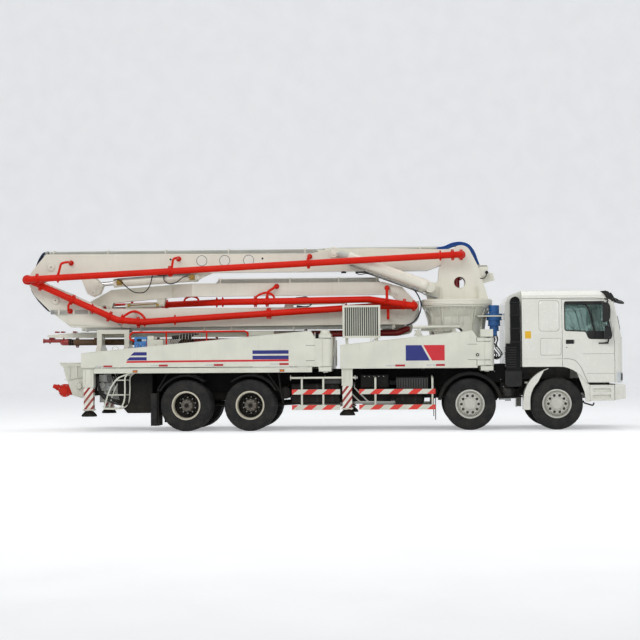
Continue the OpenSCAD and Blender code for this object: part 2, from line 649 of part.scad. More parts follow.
// Boom sections
boom1_under = 3400;
boom1_top = 3790;
module boom_1() color(cream) {
    difference() {
        union() {
            plate_xz(concat([[-5957, boom1_top + 40]], [[-6190, 3560]], arc([knee1_x, knee1_z], 105,
                160, 300, 8), [[-5600, boom1_under], [2350, boom1_under], [2780, 3560]],
                arc([pin0_x, pin0_z], 160, -75, 75, 8), [[2700, boom1_top + 60], [lift_eye_x, boom1_top +
                    110], [lift_eye_x - 500, boom1_top]]), -boom1_y, boom1_y);
            bar_y(lift_eye_x, lift_eye_z, 112, -lift_y + 78, lift_y - 78);
            bar_y(630, 3750, 70, -boom1_y - 30, boom1_y + 30);
            bar_y(-5841, 3547, 60, -boom1_y - 20, boom1_y + 20);
            plate_xz([[-2800, boom1_under + 1], [-2760, 3300], [-2630, 3250], [-2540, 3300], [-2300,
                boom1_under + 1]], -60, 60);
            bar_y(knee1_x, knee1_z, knee_pin_r + 20, -boom1_y - 20, boom1_y + 20);
        }
        block([-6500, -boom1_y + 50, 3000], [-5700, boom1_y - 50, 3460]);
    }
    bar_y(knee1_x, knee1_z, knee_pin_r, -boom1_y - 1, boom1_y + 1);
    bar_y(pin0_x, pin0_z, knee_pin_r + 25, -turret_plate_in - turret_plate_t - 12, turret_plate_in +
        turret_plate_t + 12);
    // Cylinder of the first knee, with its rocker
    bar([-2640, 0, 3310], [-4500, 0, 3195], 92);
    bar([-4490, 0, 3196], [-4760, 0, 3175], 48);
    plate_xz([[-5240, 3380], [-5000, 3400], [-4720, 3150], [-4800, 2960], [-4950, 2900], [-5060,
        2960]], -130, -100);
    plate_xz([[-5240, 3380], [-5000, 3400], [-4720, 3150], [-4800, 2960], [-4950, 2900], [-5060, 2960]],
        100, 130);
    bar_y(-4820, 3128, 45, -145, 145);
    bar_y(-4930, 2990, 40, -145, 145);
    block([-5200, -130, 3340], [-5000, 130, 3402]);
    // Blank round signs
    for (x = [-2536, -2036, -1514]) bar_y(x, 3655, 118, -boom1_y - 4, -boom1_y + 1);
    // Duct for the hydraulic lines
    block([-5900, -120, boom1_top - 1], [lift_eye_x - 200, 120, 3875]);
    block([lift_eye_x - 201, -100, boom1_top], [2750, 100, 3900]);
}
boom2_under = 2240;
boom2_top = 2630;
module boom_2() color(cream) {
    difference() {
        union() {
            plate_xz(concat(arc([knee1_x, knee1_z], 100, 20, 190, 8), [[-6230, 2930], [-5894, 2597],
                [-5425, 2234], [-4100, 2215]],
                [[1500, boom2_under]], arc([1930, 2480], 250, -80, 15, 6), [[knee2_x + 120, 2740]],
                    [[knee2_x - 140, 2740], [1700, boom2_top], [-4700, boom2_top], [-5500, 3000]]),
                -boom2_y + 28, boom2_y - 28);
            plate_xz([[-5500, 2300], [-4100, 2215], [1600, boom2_under], [1600, boom2_top], [-4700,
                boom2_top], [-5500, 2800]], -boom2_y, boom2_y);
            bar_y(1755, 2420, 45, -boom2_y - 12, boom2_y + 12);
        }
        bar_y(knee1_x, knee1_z, knee_pin_r + run_gap, -400, 400);
    }
    bar_y(-5758, 2822, 55, -boom2_y, boom2_y);
    bar_y(knee2_x, knee2_z, knee_pin_r, -boom2_y - 40, boom2_y + 40);
    block([-5200, -110, 2150], [1650, 110, boom2_under + 1]);
    // Cylinder of the second knee, on top of the section
    bar([-650, 0, 2745], [560, 0, 2765], 68);
    bar([559, 0, 2765], [1150, 0, 2790], 38);
    bar_y(-650, 2745, 42, -112, 112);
    bar_y(1150, 2790, 36, -106, 106);
    both_sides() {
        plate_xz([[-760, boom2_top - 1], [-560, boom2_top - 1], [-600, 2795], [-700, 2795]], 82, 107);
        plate_xz([[1040, boom2_top - 1], [1340, boom2_top - 1], [1230, 2838], [1100, 2838]], 72, 100);
    }
}
boom3_under = 2885;
boom3_top = 3165;
module boom_3() color(cream) {
    difference() {
        union() {
            plate_xz([[-2700, boom3_under], [1500, boom3_under], [1750, 2800], [1750, 3060], [1400,
                boom3_top], [-2700, boom3_top]], -boom3_y, boom3_y);
            for (s = [-1, 1]) plate_xz(concat([[1600, 2840]], arc([knee2_x, knee2_z], 110, -120, 60, 8),
                [[1800, 3050], [1600, 3100]]),
                s > 0 ? boom2_y + 2 : -boom2_y - 32, s > 0 ? boom2_y + 32 : -boom2_y - 2);
            block([1560, -boom2_y - 32, 2860], [1745, boom2_y + 32, 3050]);
        }
        bar_y(knee2_x, knee2_z, knee_pin_r + run_gap, -400, 400);
    }
    // Crank towards the offset sections
    hull() {
        block([-2760, -boom3_y, boom3_under], [-2699, boom3_y, boom3_top]);
        block([-3260, side_y - 110, boom3_under], [-3200, side_y + 110, boom3_top]);
    }
    difference() {
        plate_xz(concat([[-3201, boom3_under], [-3201, boom3_top], [-4600, 3060], [-5150, 2760]],
            arc([knee3_x, knee3_z], 100, 120, 330, 8), [[-4700, 2760]]),
            side_y - 110, side_y + 110);
        block([-5400, side_y - 75, 2400], [-4600, side_y + 75, 2755]);
        bar_y(knee3_x, knee3_z, knee_pin_r, side_y - 200, side_y + 200);
    }
    bar_y(knee3_x, knee3_z, knee_pin_r + 0.5, side_y - 125, side_y + 125);
    block([-2200, -40, boom3_top - 1], [1300, 40, 3268]);
    // Cylinder of the third knee, under the cranked end
    bar([-3500, side_y, 2730], [-4300, side_y, 2695], 62);
    bar([-4299, side_y, 2695], [-4650, side_y, 2680], 32);
    bar_y(-3500, 2730, 36, side_y - 86, side_y + 86);
    bar_y(-4650, 2680, 30, side_y - 106, side_y + 106);
    for (s = [-1, 1]) translate([0, side_y, 0]) mirror([0, s < 0 ? 1 : 0, 0]) {
        plate_xz([[-3620, 2900], [-3400, 2890], [-3450, 2690], [-3550, 2690]], 66, 84);
        plate_xz([[-4770, 2790], [-4550, 2800], [-4600, 2640], [-4700, 2640]], 80, 105);
    }
}
pin4_r = 78;
module boom_4() color(cream) difference() {
    union() {
        plate_xz(concat(arc([knee3_x, knee3_z], 90, 90, 260, 6), [[-4700, 2210], [1500, 2240]],
            arc([knee4_x, knee4_z + 40], 120, -60, 90, 6),
            [[1500, 2540], [-4600, 2540], [-4900, 2680]]), side_y - 70, side_y + 70);
        plate_xz([[-4500, 2215], [1300, 2240], [1300, 2535], [-4500, 2535]], side_y - 105, side_y + 105);
    }
    bar_y(knee3_x, knee3_z, knee_pin_r + 1.5, 0, 800);
    bar_y(knee4_x, knee4_z, pin4_r + run_gap, 0, 800);
}
boom5_under = 2006;
tip_x = -6020;
module boom_5() color(cream) {
    plate_xz([[tip_x, 2020], [tip_x, 2075], [-5300, 2125], [1500, 2134], [1500, boom5_under], [-5300,
        boom5_under]], side_y - 85, side_y + 85);
    for (y = [side_y - 100, side_y + 72]) plate_xz(concat([[1300, 2134], [1300, boom5_under], [1750,
        boom5_under]], arc([knee4_x, knee4_z], 110, -70, 120, 6)), y, y + 28);
    bar_y(knee4_x, knee4_z, pin4_r, side_y - 110, side_y + 110);
}

// Delivery pipes, with coupling rings where two lengths meet
module pipe(points, rings) color(red) {
    tube_run(points, pipe_r);
    for (c = rings) translate(c[0]) rotate(c[1]) translate([0, 0, -28]) cylinder(h = 56, r = coupling_r);
}
along = [0, 90, 0];
across = [90, 0, 0];
module pipe_1() {
    pipe([[pin0_x, pipe1_y + 240, pin0_z], [pin0_x, pipe1_y, pin0_z], [knee1_x, pipe1_y, knee1_z],
        [knee1_x, pipe1_y + 110, knee1_z]],
        [[[pin0_x, pipe1_y + 130, pin0_z], across], [[-3110, pipe1_y, 3414], along], [[-310, pipe1_y,
            3547], along]]);
    color(red) bar_y(knee1_x, knee1_z, swivel_r, pipe1_y + 82, pipe1_y + 110);
    for (x = [-5600, -3110, -310]) {
        z = knee1_z + (x - knee1_x) * (pin0_z - knee1_z) / (pin0_x - knee1_x);
        color(red) {
            bar([x, pipe1_y, z], [x, pipe1_y + 150, z + 110], 26);
            bar_y(x, z + 110, 28, pipe1_y + 150, -boom1_y);
        }
    }
    color(red) bar([2600, pipe1_y, 3685], [2600, pipe1_y + 60, 3685], 30);
}
// Height of the second pipe at x, on its long straight and before it
function pipe_2_z(x) = x > -3800 ? 2330 + (x + 3800) * 298 / 5000 : 2380 +
    (-4360 - x) * (knee1_z - 2380) / (-4360 - knee1_x);
module pipe_2_arms() color(red) for (x = [-4900, -3100, -1100, 600]) bar_y(x, pipe_2_z(x), 26,
    pipe2_y, -boom2_y);
module pipe_2() pipe([[knee1_x, pipe1_y + 134, knee1_z], [knee1_x, pipe2_y, knee1_z], [-4360, pipe2_y,
    2380], [-3800, pipe2_y, 2330], [1200, pipe2_y, 2628], [knee2_x, pipe2_y, knee2_z], [knee2_x,
    pipe2_y - 109.7, knee2_z]],
    [[[-1100, pipe2_y, 2490], along], [[-4360, pipe2_y, 2380], [0, 115, 0]], [[knee2_x, pipe2_y - 80,
        knee2_z], across]]);
pipe4_y = side_y + 210;
pipe3_end_y = pipe4_y + 160;
module pipe_3() pipe([[knee2_x, pipe2_y - 110, knee2_z], [knee2_x, pipe2_y - 190, knee2_z], [1100, -540,
    2770], [-1150, -250, 2757],
    [-2100, -60, 2757], [-3400, pipe3_end_y, 2740], [-4900, pipe3_end_y, 2700], [knee3_x, pipe3_end_y,
        knee3_z], [knee3_x, pipe3_end_y - 80, knee3_z]],
    [[[-1150, -250, 2757], along], [[knee2_x - 300, pipe2_y - 188, 2674], along], [[-3450, pipe3_end_y,
        2738], along]]);
module pipe_4() pipe([[knee3_x, pipe3_end_y - 80.3, knee3_z], [knee3_x, pipe4_y, knee3_z], [-4700,
    pipe4_y, 2390], [1500, pipe4_y, 2390],
    [knee4_x, pipe4_y, knee4_z], [knee4_x, side_y + 112, knee4_z]], [[[-1500, pipe4_y, 2390], along]]);
hose_y = side_y - 82;
hose_z = 1910;
hose_back_x = -5560;
hose_front_x = -2800;
module pipe_5_arms() color(red) for (x = [-5000, -3600, -2300]) {
    block([x, side_y + 50, hose_z + 60], [x + 40, side_y + 84, boom5_under]);
    block([x, hose_y, hose_z + hose_r], [x + 40, side_y - 40, hose_z + hose_r + 16]);
    block([x, side_y - 60, hose_z + hose_r], [x + 40, side_y - 40, boom5_under]);
}
module pipe_5() pipe([[knee4_x, side_y - 110, knee4_z], [knee4_x, 140, knee4_z], [1690, 140, 2062],
    [-400, 140, 2045], [-1000, 140, hose_z + 15], [-2000, side_y + 80, hose_z], [-5700, side_y + 80,
    hose_z],
    [-5700, hose_y, hose_z], [hose_back_x, hose_y, hose_z]], [[[-5400, side_y + 80, hose_z], along]]);
module end_hose() color("#4a3524") difference() {
    bar([hose_back_x, hose_y, hose_z], [hose_front_x, hose_y, hose_z], hose_r);
    bar([hose_front_x - 300, hose_y, hose_z], [hose_front_x + 1, hose_y, hose_z], hose_bore_r);
}

// Outriggers: [hinge x, leg x, top at the leg, top at the hinge]
module outrigger(h, leg, top_leg, top_hinge, under) color(cream) {
    back = leg - leg_w / 2 - 30;
    difference() {
        union() {
            plate_xz([[back, under], [h - 200, under], [h - 200, 1346], [h - 60, 1346], [h - 60, 1928],
                [h - 200, 1928], [h - 300, top_hinge], [back, top_leg]], beam_y - beam_w / 2, beam_y +
                beam_w / 2);
            translate([h, beam_y, 1346]) cylinder(h = 582, r = beam_w / 2 - 5);
            block([leg - leg_w / 2, beam_y - leg_w / 2, leg_z], [leg + leg_w / 2, beam_y + leg_w / 2,
                under + 1]);
        }
        translate([h, beam_y, 1000]) cylinder(h = 1200, r = 50 + fit);
        block([leg - leg_w / 2 + leg_t, beam_y - leg_w / 2 + leg_t, leg_z - 1], [leg +
            leg_w / 2 - leg_t, beam_y + leg_w / 2 - leg_t, top_leg - 40]);
    }
}
module jack(leg, top) {
    h = leg_w / 2 - leg_t - fit;
    color(cream) block([leg - h, beam_y - h, foot_z + 120], [leg + h, beam_y + h, top - 60]);
    color(dark) translate([leg, beam_y, foot_z]) {
        cylinder(h = 40, r = foot_r);
        translate([0, 0, 39]) cylinder(h = 82, r1 = foot_r - 30, r2 = 70);
    }
}

// Hopper: tapered open trough, its rear flap, and the outlet elbow
module hopper() {
    color(cream) difference() {
        union() {
            plate_xz([[-5480, hopper_z], [-4960, hopper_z], [-4960, 760], [-5060, 700], [-5250, 760],
                [-5400, 1150]], -hopper_y, hopper_y);
            plate_xz([[-5520, hopper_z], [-4955, hopper_z], [-4955, hopper_z - 60], [-5495,
                hopper_z - 60]], -hopper_y - 20, hopper_y + 20);
        }
        plate_xz([[-5468, hopper_z + 1], [-4975, hopper_z + 1], [-4975, 790], [-5070, 730], [-5235,
            780], [-5385, 1150]], -hopper_y + hopper_t, hopper_y - hopper_t);
        bar_y(-5100, shaft_z, shaft_r + run_gap, -hopper_y - 50, hopper_y + 50);
    }
    color(cream) both_sides() block([-4960, 300, 900], [rail_back_x, 345, subframe_z]);
    color(cream) {
        for (y = [-700:140:700]) block([grate_hinge_x + 14, y - 6, hopper_z - 1], [-4970, y + 6,
            hopper_z + 24]);
        for (x = [grate_hinge_x + 14, -4982]) block([x, -760, hopper_z - 1], [x + 12, 760, hopper_z + 24]);
        both_sides() difference() {
            block([grate_hinge_x - 16, 746, hopper_z - 8], [grate_hinge_x + 26, 760, hopper_z + 26]);
            bar_y(grate_hinge_x, hopper_z + 12, 10 + fit, 740, 770);
        }
    }
    color(red) tube_run([[-5230, 0, 850], [-5420, 0, 850], [-5480, -200, 850]], 95);
}
grate_hinge_x = -5120;
module grate_bars(x0, x1) {
    for (y = [-700:140:700]) block([x0, y - 6, hopper_z + fit], [x1, y + 6, hopper_z + 24]);
    for (x = [x0, x1 - 12]) block([x, -745, hopper_z + fit], [x + 12, 745, hopper_z + 24]);
}
module grate() color(cream) {
    grate_bars(-5465, grate_hinge_x - 8);
    bar_y(grate_hinge_x, hopper_z + 12, 10, -756, 756);
    for (y = [-700:140:700]) block([grate_hinge_x - 9, y - 6, hopper_z + 2], [grate_hinge_x, y + 6,
        hopper_z + 22]);
}
module agitator() color(dark) {
    bar_y(-5100, shaft_z, shaft_r, -hopper_y - 40, hopper_y + 40);
    for (y = [-560, -280, 280, 560]) for (s = [-1, 1]) block([-5112, y - 40, shaft_z + (s > 0 ? 20 :
        -110)], [-5088, y + 40, shaft_z + (s > 0 ? 110 : -20)]);
}

// Cab: the meeting of a side, a front and a plan outline, each given with the depth t below the skin
tilt_lug_r = 30;
tilt_pin_r = 20;
cab_back_x = 3950;
cab_side_x = 4288;
function cab_side(t) = [[cab_back_x + t, 700], [cab_back_x + t, 2650 - t * 0.4], [4030 + t * 0.6,
    2800 - t * 0.8], [4300, cab_top - t],
    [5700, cab_top - t], [5930, cab_top - 40 - t], [6100, cab_top - 130 - t * 0.8], [6165 - t, 2720],
        [6362 - t, 1820], [6366 - t, 1400], [6358 - t, 700]];
function cab_front_half(t) = [[cab_y - t, 700], [cab_y - t, 2000], [cab_y - 45 - t, 2700],
    [cab_y - 80 - t * 0.9, 2800 - t * 0.5], [cab_y - 200 - t * 0.5, 2890 - t], [cab_y - 340, cab_top +
    6 - t]];
function cab_front(t) = concat(cab_front_half(t), [for (i = [5:-1:0])
    let (p = cab_front_half(t)[i]) [-p.x, p.y]]);
function cab_plan_half(t) = concat([[cab_back_x - 1, cab_y - 290 - t], [cab_side_x + t,
    cab_y - 290 - t], [cab_side_x + t, cab_y - t]],
    arc([6150, cab_y - 220], 220 - t, 90, 10, 6));
function cab_plan(t) = concat(cab_plan_half(t), [for (i = [len(cab_plan_half(t)) - 1:-1:0])
    let (p = cab_plan_half(t)[i]) [p.x, -p.y]]);
module cab_solid(t) intersection() {
    plate_xz(cab_side(t), -2000, 2000);
    plate_yz(cab_front(t), 3000, 7000);
    translate([0, 0, 500]) linear_extrude(3000) polygon(cab_plan(t));
}
// Outline of a door opening, grown by g
function door_outline(g) = [[door_back_x - g, door_z - g], [door_front_x + g, door_z - g],
    [door_front_x + g, 1830], [6020 + g, 2700 + g], [door_back_x - g, 2700 + g]];
window_outline = [[5170, 2060], [5600, 2040], [5660, 1890], [6110, 1880], [6135, 1960], [5990, 2655],
    [5170, 2655]];
arch_z = 612;
arch_r = 700;
hinge_zs = [1300, 2000];
module cab() color(cream) {
    difference() {
        cab_solid(0);
        intersection() { cab_solid(cab_t); block([3000, -2000, floor_z], [7000, 2000, 3000]); }
        intersection() { cab_solid(cab_t); block([3000, -2000, 600], [7000, 2000, floor_z - 40]); }
        both_sides() plate_xz(door_outline(door_gap), 1000, 1300);
        both_sides() {
            bar_y(axle_1_x, arch_z, arch_r, 700, 1300);
            block([3900, 700, 600], [axle_1_x, 1300, 1311]);
        }
        block([3000, -1300, 600], [7000, 1300, 973]);
        block([3900, -1300, 600], [4600, 1300, 1311]);
        plate_yz([[-1080, 1870], [1080, 1870], [1010, 2660], [-1010, 2660]], 6060, 6500);
        block([3900, -1000, 600], [4290, 1000, 1311]);
        for (z = hinge_zs) both_sides() translate([door_front_x + 4, cab_y, z + 60]) cylinder(h = 61,
            r = 16);
        both_sides() {
            block([6180, 345 - fit, 900], [tilt_x + tilt_lug_r + 5, 385, 1110]);
            bar_y(tilt_x, tilt_z, tilt_pin_r + fit, 319, 350);
            // Headlamp pocket
            block([lamp_x - fit, lamp_y - fit, lamp_z - fit], [6500, lamp_y + lamp_w + fit, lamp_z +
                lamp_h + fit]);
        }
        // Grille louvres
        for (z = [1300:75:1700]) block([6340, -720, z], [6500, 720, z + 30]);
    }
    for (z = hinge_zs) both_sides() translate([door_front_x + 4, cab_y, z]) cylinder(h = 60, r = 11);
    difference() {
        block([6180, -345 + fit, 1008], [6330, 345 - fit, 1080]);
        both_sides() bar_y(tilt_x, tilt_z, tilt_pin_r + fit, 319, 350);
    }
}
module cab_door() color(cream) {
    difference() {
        intersection() {
            difference() { cab_solid(0); cab_solid(cab_t - 2); }
            plate_xz(door_outline(0), 1000, 1300);
        }
        plate_xz(window_outline, 1000, 1300);
        bar_y(axle_1_x, arch_z, arch_r + door_gap, 700, 1300);
        for (z = hinge_zs) translate([door_front_x + 4, cab_y, z - 1]) cylinder(h = 62, r = 16);
        // Recess of the handle
        block([5190, cab_y - 22, 1795], [5370, cab_y + 10, 1862]);
    }
    for (z = hinge_zs) translate([door_front_x + 4, cab_y, z + 60 + fit]) cylinder(h = 60, r = 11);
}
module door_l() cab_door();
module door_r() mirror([0, 1, 0]) cab_door();
module cab_glass() color("#5f7680") {
    intersection() {
        difference() { cab_solid(14); cab_solid(22); }
        plate_yz([[-1079, 1871], [1079, 1871], [1009, 2659], [-1009, 2659]], 6060, 6500);
    }
}
module cab_interior() color("#3a3c3e") {
    block([5650, -1050, floor_z], [6180, 1050, 1850]);
    for (y = [-620, 620]) {
        block([4950, y - 260, floor_z], [5450, y + 260, 1800]);
        block([4830, y - 250, 1799], [4960, y + 250, 2400]);
    }
    block([4060, -900, floor_z], [4700, 900, 1800]);
    translate([5600, 620, 2010]) rotate([0, 60, 0]) rotate_extrude() translate([220, 0]) circle(r = 16);
    bar([5601, 620, 2010], [5800, 620, 1840], 25);
}
// Mirror pair of a door, on arms from the door's frame and from below its window
mirror_y = 1390;
module door_mirror() color(dark) difference() {
    union() {
        block([6020, mirror_y - 95, 2080], [6070, mirror_y + 95, 2480]);
        block([6030, mirror_y - 90, 1880], [6080, mirror_y + 90, 2050]);
        bar([6045, mirror_y, 2460], [6000, cab_y - 60, 2640], 14);
        bar([6050, mirror_y, 1900], [6000, cab_y - 20, 1846], 14);
        bar([6045, mirror_y, 2090], [6055, mirror_y, 2040], 14);
    }
    cab_solid(-fit);
}
// Headlamps in the cab's lower corners
lamp_x = 6318;
lamp_y = 850;
lamp_w = 330;
lamp_z = 1015;
lamp_h = 160;
module headlamps() color(steel) both_sides() intersection() {
    block([lamp_x, lamp_y, lamp_z], [6500, lamp_y + lamp_w, lamp_z + lamp_h]);
    cab_solid(6);
}
// Sun visor over the windscreen and the look-down mirror at its corner
module cab_trim() color(dark) difference() {
    union() {
        plate_xz([[6170, 2790], [6250, 2640], [6262, 2646], [6182, 2800]], -1060, 1060);
        both_sides() plate_xz([[6080, 2740], [6180, 2700], [6215, 2720], [6176, 2792], [6110, 2810]],
            900, 930);
        bar([6190, -880, 2730], [6330, -1000, 2690], 12);
        translate([6340, -1000, 2690]) sphere(r = 60);
    }
    cab_solid(-fit);
}
module bumper() color(cream) {
    difference() {
        union() {
            plate_xz([[6190, 616], [6403, 640], [6403, 930], [6190, 942]], -1235, 1235);
            both_sides() block([5680, 1150, 598], [6190, 1235, 928]);
        }
        block([6100, -1150, 600], [6340, 1150, 930]);
        // Steps below the doors
        both_sides() for (z = [650, 780]) block([5740, 1195, z], [6100, 1236, z + 75]);
    }
    both_sides() block([6190, 300, 700], [6345, 345, 900]);
}

chassis_frame();
union() { front_axles(); rear_axles(); driveline(); }  // axles
union() { engine(); engine_feet(); }
mudguards();
union() { tanks(); air_intake(); silencer(); lamp_bars(); }
knuckle(axle_1_x, 1);  // knuckle_1l
knuckle(axle_1_x, -1);  // knuckle_1r
knuckle(axle_2_x, 1);  // knuckle_2l
knuckle(axle_2_x, -1);  // knuckle_2r
steered_wheel(axle_1_x, 1);  // wheel_1l
steered_wheel(axle_1_x, -1);  // wheel_1r
steered_wheel(axle_2_x, 1);  // wheel_2l
steered_wheel(axle_2_x, -1);  // wheel_2r
twin_wheel(axle_3_x, 1);  // wheel_3l
twin_wheel(axle_3_x, -1);  // wheel_3r
twin_wheel(axle_4_x, 1);  // wheel_4l
twin_wheel(axle_4_x, -1);  // wheel_4r
union() { subframe(); boom_rest(); }
union() { deck(); cabinets(); }
pump_unit();
union() { side_guards(); ladders(); }
handrail();
oil_cooler();
slew_drive();
pedestal();
turret();
lift_barrels();
lift_rods();
boom_1();
boom_2();
boom_3();
boom_4();
boom_5();
pipe_1();
union() { pipe_2(); pipe_2_arms(); }
pipe_3();
pipe_4();
union() { pipe_5(); pipe_5_arms(); }
end_hose();
outrigger(hinge_f_x, leg_f_x, 1795, 2080, 1300);  // outrigger_fl
mirror([0, 1, 0]) outrigger(hinge_f_x, leg_f_x, 1795, 2080,  // outrigger_fr
    1300);
outrigger(hinge_r_x, leg_r_x, 1662, 2100, beam_under);  // outrigger_rl
mirror([0, 1, 0]) outrigger(hinge_r_x, leg_r_x, 1662, 2100,  // outrigger_rr
    beam_under);
jack(leg_f_x, 1795);  // jack_fl
mirror([0, 1, 0]) jack(leg_f_x, 1795);  // jack_fr
jack(leg_r_x, 1662);  // jack_rl
mirror([0, 1, 0]) jack(leg_r_x, 1662);  // jack_rr
hopper();
grate();
agitator();
cab();
cab_interior();
cab_glass();
union() { cab_trim(); headlamps(); }
door_l();
door_r();
door_mirror();  // mirror_l
mirror([0, 1, 0]) door_mirror();  // mirror_r
bumper();
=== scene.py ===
"""Looks of the truck-mounted concrete pump: materials, fine pieces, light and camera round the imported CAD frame."""
import bmesh
import bpy
import json
import math
from mathutils import Matrix, Vector

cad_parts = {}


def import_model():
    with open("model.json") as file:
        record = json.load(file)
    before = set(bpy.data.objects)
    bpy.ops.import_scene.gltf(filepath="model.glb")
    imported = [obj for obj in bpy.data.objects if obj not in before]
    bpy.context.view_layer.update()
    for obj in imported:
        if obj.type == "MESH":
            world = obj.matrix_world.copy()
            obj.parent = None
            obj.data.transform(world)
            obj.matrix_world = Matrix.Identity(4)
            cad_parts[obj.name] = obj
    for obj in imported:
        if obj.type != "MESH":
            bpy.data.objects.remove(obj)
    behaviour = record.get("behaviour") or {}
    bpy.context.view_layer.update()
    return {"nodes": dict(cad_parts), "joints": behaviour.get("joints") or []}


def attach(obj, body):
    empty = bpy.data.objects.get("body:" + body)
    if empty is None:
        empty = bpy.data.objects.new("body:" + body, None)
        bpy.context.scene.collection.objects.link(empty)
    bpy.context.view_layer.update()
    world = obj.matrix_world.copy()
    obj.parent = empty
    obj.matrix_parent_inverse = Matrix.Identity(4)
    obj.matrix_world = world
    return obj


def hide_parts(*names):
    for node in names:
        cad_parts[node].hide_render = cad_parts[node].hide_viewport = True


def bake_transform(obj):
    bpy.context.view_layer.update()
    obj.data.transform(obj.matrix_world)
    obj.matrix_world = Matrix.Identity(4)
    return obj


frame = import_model()
NODES = frame["nodes"]
sin, cos, pi = math.sin, math.cos, math.pi


# Materials
def lin(r, g, b):
    """sRGB 0-255 to linear"""
    return tuple(((c / 255) / 12.92 if c / 255 <= 0.04045 else ((c / 255 + 0.055) / 1.055) ** 2.4) for c in (r, g, b))


class Nodes:
    """A material under construction"""

    def __init__(self, name):
        self.mat = bpy.data.materials.new(name)
        self.mat.use_nodes = True
        self.t = self.mat.node_tree
        self.bsdf = self.t.nodes["Principled BSDF"]
        self.co = self.add("ShaderNodeTexCoord").outputs["Object"]

    def add(self, kind, **kw):
        n = self.t.nodes.new(kind)
        for k, v in kw.items():
            setattr(n, k, v)
        return n

    def link(self, a, b):
        self.t.links.new(a, b)

    def put(self, socket, v):
        if hasattr(v, "links"):
            self.link(v, socket)
        else:
            socket.default_value = v

    def math(self, op, a, b=0.0, clamp=False):
        n = self.add("ShaderNodeMath", operation=op, use_clamp=clamp)
        self.put(n.inputs[0], a)
        self.put(n.inputs[1], b)
        return n.outputs[0]

    def noise(self, scale, detail=3, stretch=None):
        co = self.co
        if stretch:
            mp = self.add("ShaderNodeMapping")
            mp.inputs["Scale"].default_value = stretch
            self.link(co, mp.inputs["Vector"])
            co = mp.outputs[0]
        n = self.add("ShaderNodeTexNoise")
        n.inputs["Scale"].default_value = scale
        n.inputs["Detail"].default_value = detail
        self.link(co, n.inputs["Vector"])
        return n.outputs[0]

    def remap(self, v, a, b, c=0.0, d=1.0, smooth=False):
        n = self.add("ShaderNodeMapRange")
        if smooth:
            n.interpolation_type = "SMOOTHSTEP"
        self.put(n.inputs["Value"], v)
        for k, x in zip(("From Min", "From Max", "To Min", "To Max"), (a, b, c, d)):
            n.inputs[k].default_value = x
        return n.outputs[0]

    def mix(self, f, a, b):
        n = self.add("ShaderNodeMix", data_type="RGBA")
        self.put(n.inputs[0], f)
        for s, v in ((n.inputs[6], a), (n.inputs[7], b)):
            if hasattr(v, "links"):
                self.link(v, s)
            else:
                s.default_value = (*v, 1)
        return n.outputs[2]

    def xyz(self):
        n = self.add("ShaderNodeSeparateXYZ")
        self.link(self.co, n.inputs[0])
        return n.outputs

    def bump(self, h, strength, dist):
        n = self.add("ShaderNodeBump")
        n.inputs["Strength"].default_value = strength
        n.inputs["Distance"].default_value = dist
        self.link(h, n.inputs["Height"])
        self.link(n.outputs[0], self.bsdf.inputs["Normal"])

    def set(self, **kw):
        for k, v in kw.items():
            self.bsdf.inputs[k.replace("_", " ")].default_value = v
        return self.mat


def paint(name, rgb, rough=0.34, coat=0.25, dust=0.25, mottle=0.05, streak=0.10, bumpy=0.04, low=1.3, spec=0.5):
    """Gloss enamel with faint mottling, rain streaks, and road dust that thickens towards the ground"""
    m = Nodes(name)
    base = lin(*rgb)
    light = tuple(min(1, c * (1 + mottle)) for c in base)
    dark = tuple(c * (1 - mottle) for c in base)
    c = m.mix(m.remap(m.noise(2.3, 4), 0.35, 0.65), dark, light)
    s = m.remap(m.noise(3.0, 5, (6, 6, 0.35)), 0.55, 0.75, 0, streak)
    c = m.mix(s, c, tuple(x * 0.45 for x in base))
    z = m.xyz()[2]
    d = m.math("MULTIPLY", m.remap(z, low, 0.25, 0.0, 1.0, True), m.remap(m.noise(9, 5), 0.3, 0.7, 0.35, 1.0))
    d = m.math("MULTIPLY", d, dust)
    c = m.mix(d, c, lin(150, 138, 118))
    m.link(c, m.bsdf.inputs["Base Color"])
    m.link(m.math("ADD", m.remap(m.noise(14, 3), 0.3, 0.7, rough - 0.06, rough + 0.06), m.math("MULTIPLY", d, 0.5)),
           m.bsdf.inputs["Roughness"])
    m.bump(m.noise(60, 2), bumpy, 0.002)
    return m.set(Coat_Weight=coat, Coat_Roughness=0.12, Specular_IOR_Level=spec)


def rubber(name, rgb, dust=0.35, rough=0.82, grain=220):
    m = Nodes(name)
    base = lin(*rgb)
    c = m.mix(m.remap(m.noise(5, 5), 0.4, 0.62, 0, dust), base, lin(104, 98, 88))
    m.link(c, m.bsdf.inputs["Base Color"])
    m.link(m.remap(m.noise(18, 3), 0.3, 0.7, rough - 0.1, rough + 0.08), m.bsdf.inputs["Roughness"])
    m.bump(m.noise(grain, 3), 0.25, 0.001)
    return m.set(Specular_IOR_Level=0.35)


def metal(name, rgb, rough=0.3, metallic=1.0):
    m = Nodes(name)
    scratch = (2, 60, 60)  # noise drawn out along X
    base = lin(*rgb)
    c = m.mix(m.remap(m.noise(4, 4), 0.3, 0.7), tuple(x * 0.82 for x in base), base)
    m.link(c, m.bsdf.inputs["Base Color"])
    m.link(m.remap(m.noise(6, 3, scratch), 0.3, 0.7, rough * 0.7, rough * 1.4), m.bsdf.inputs["Roughness"])
    m.bump(m.noise(6, 2, scratch), 0.05, 0.001)
    return m.set(Metallic=metallic)


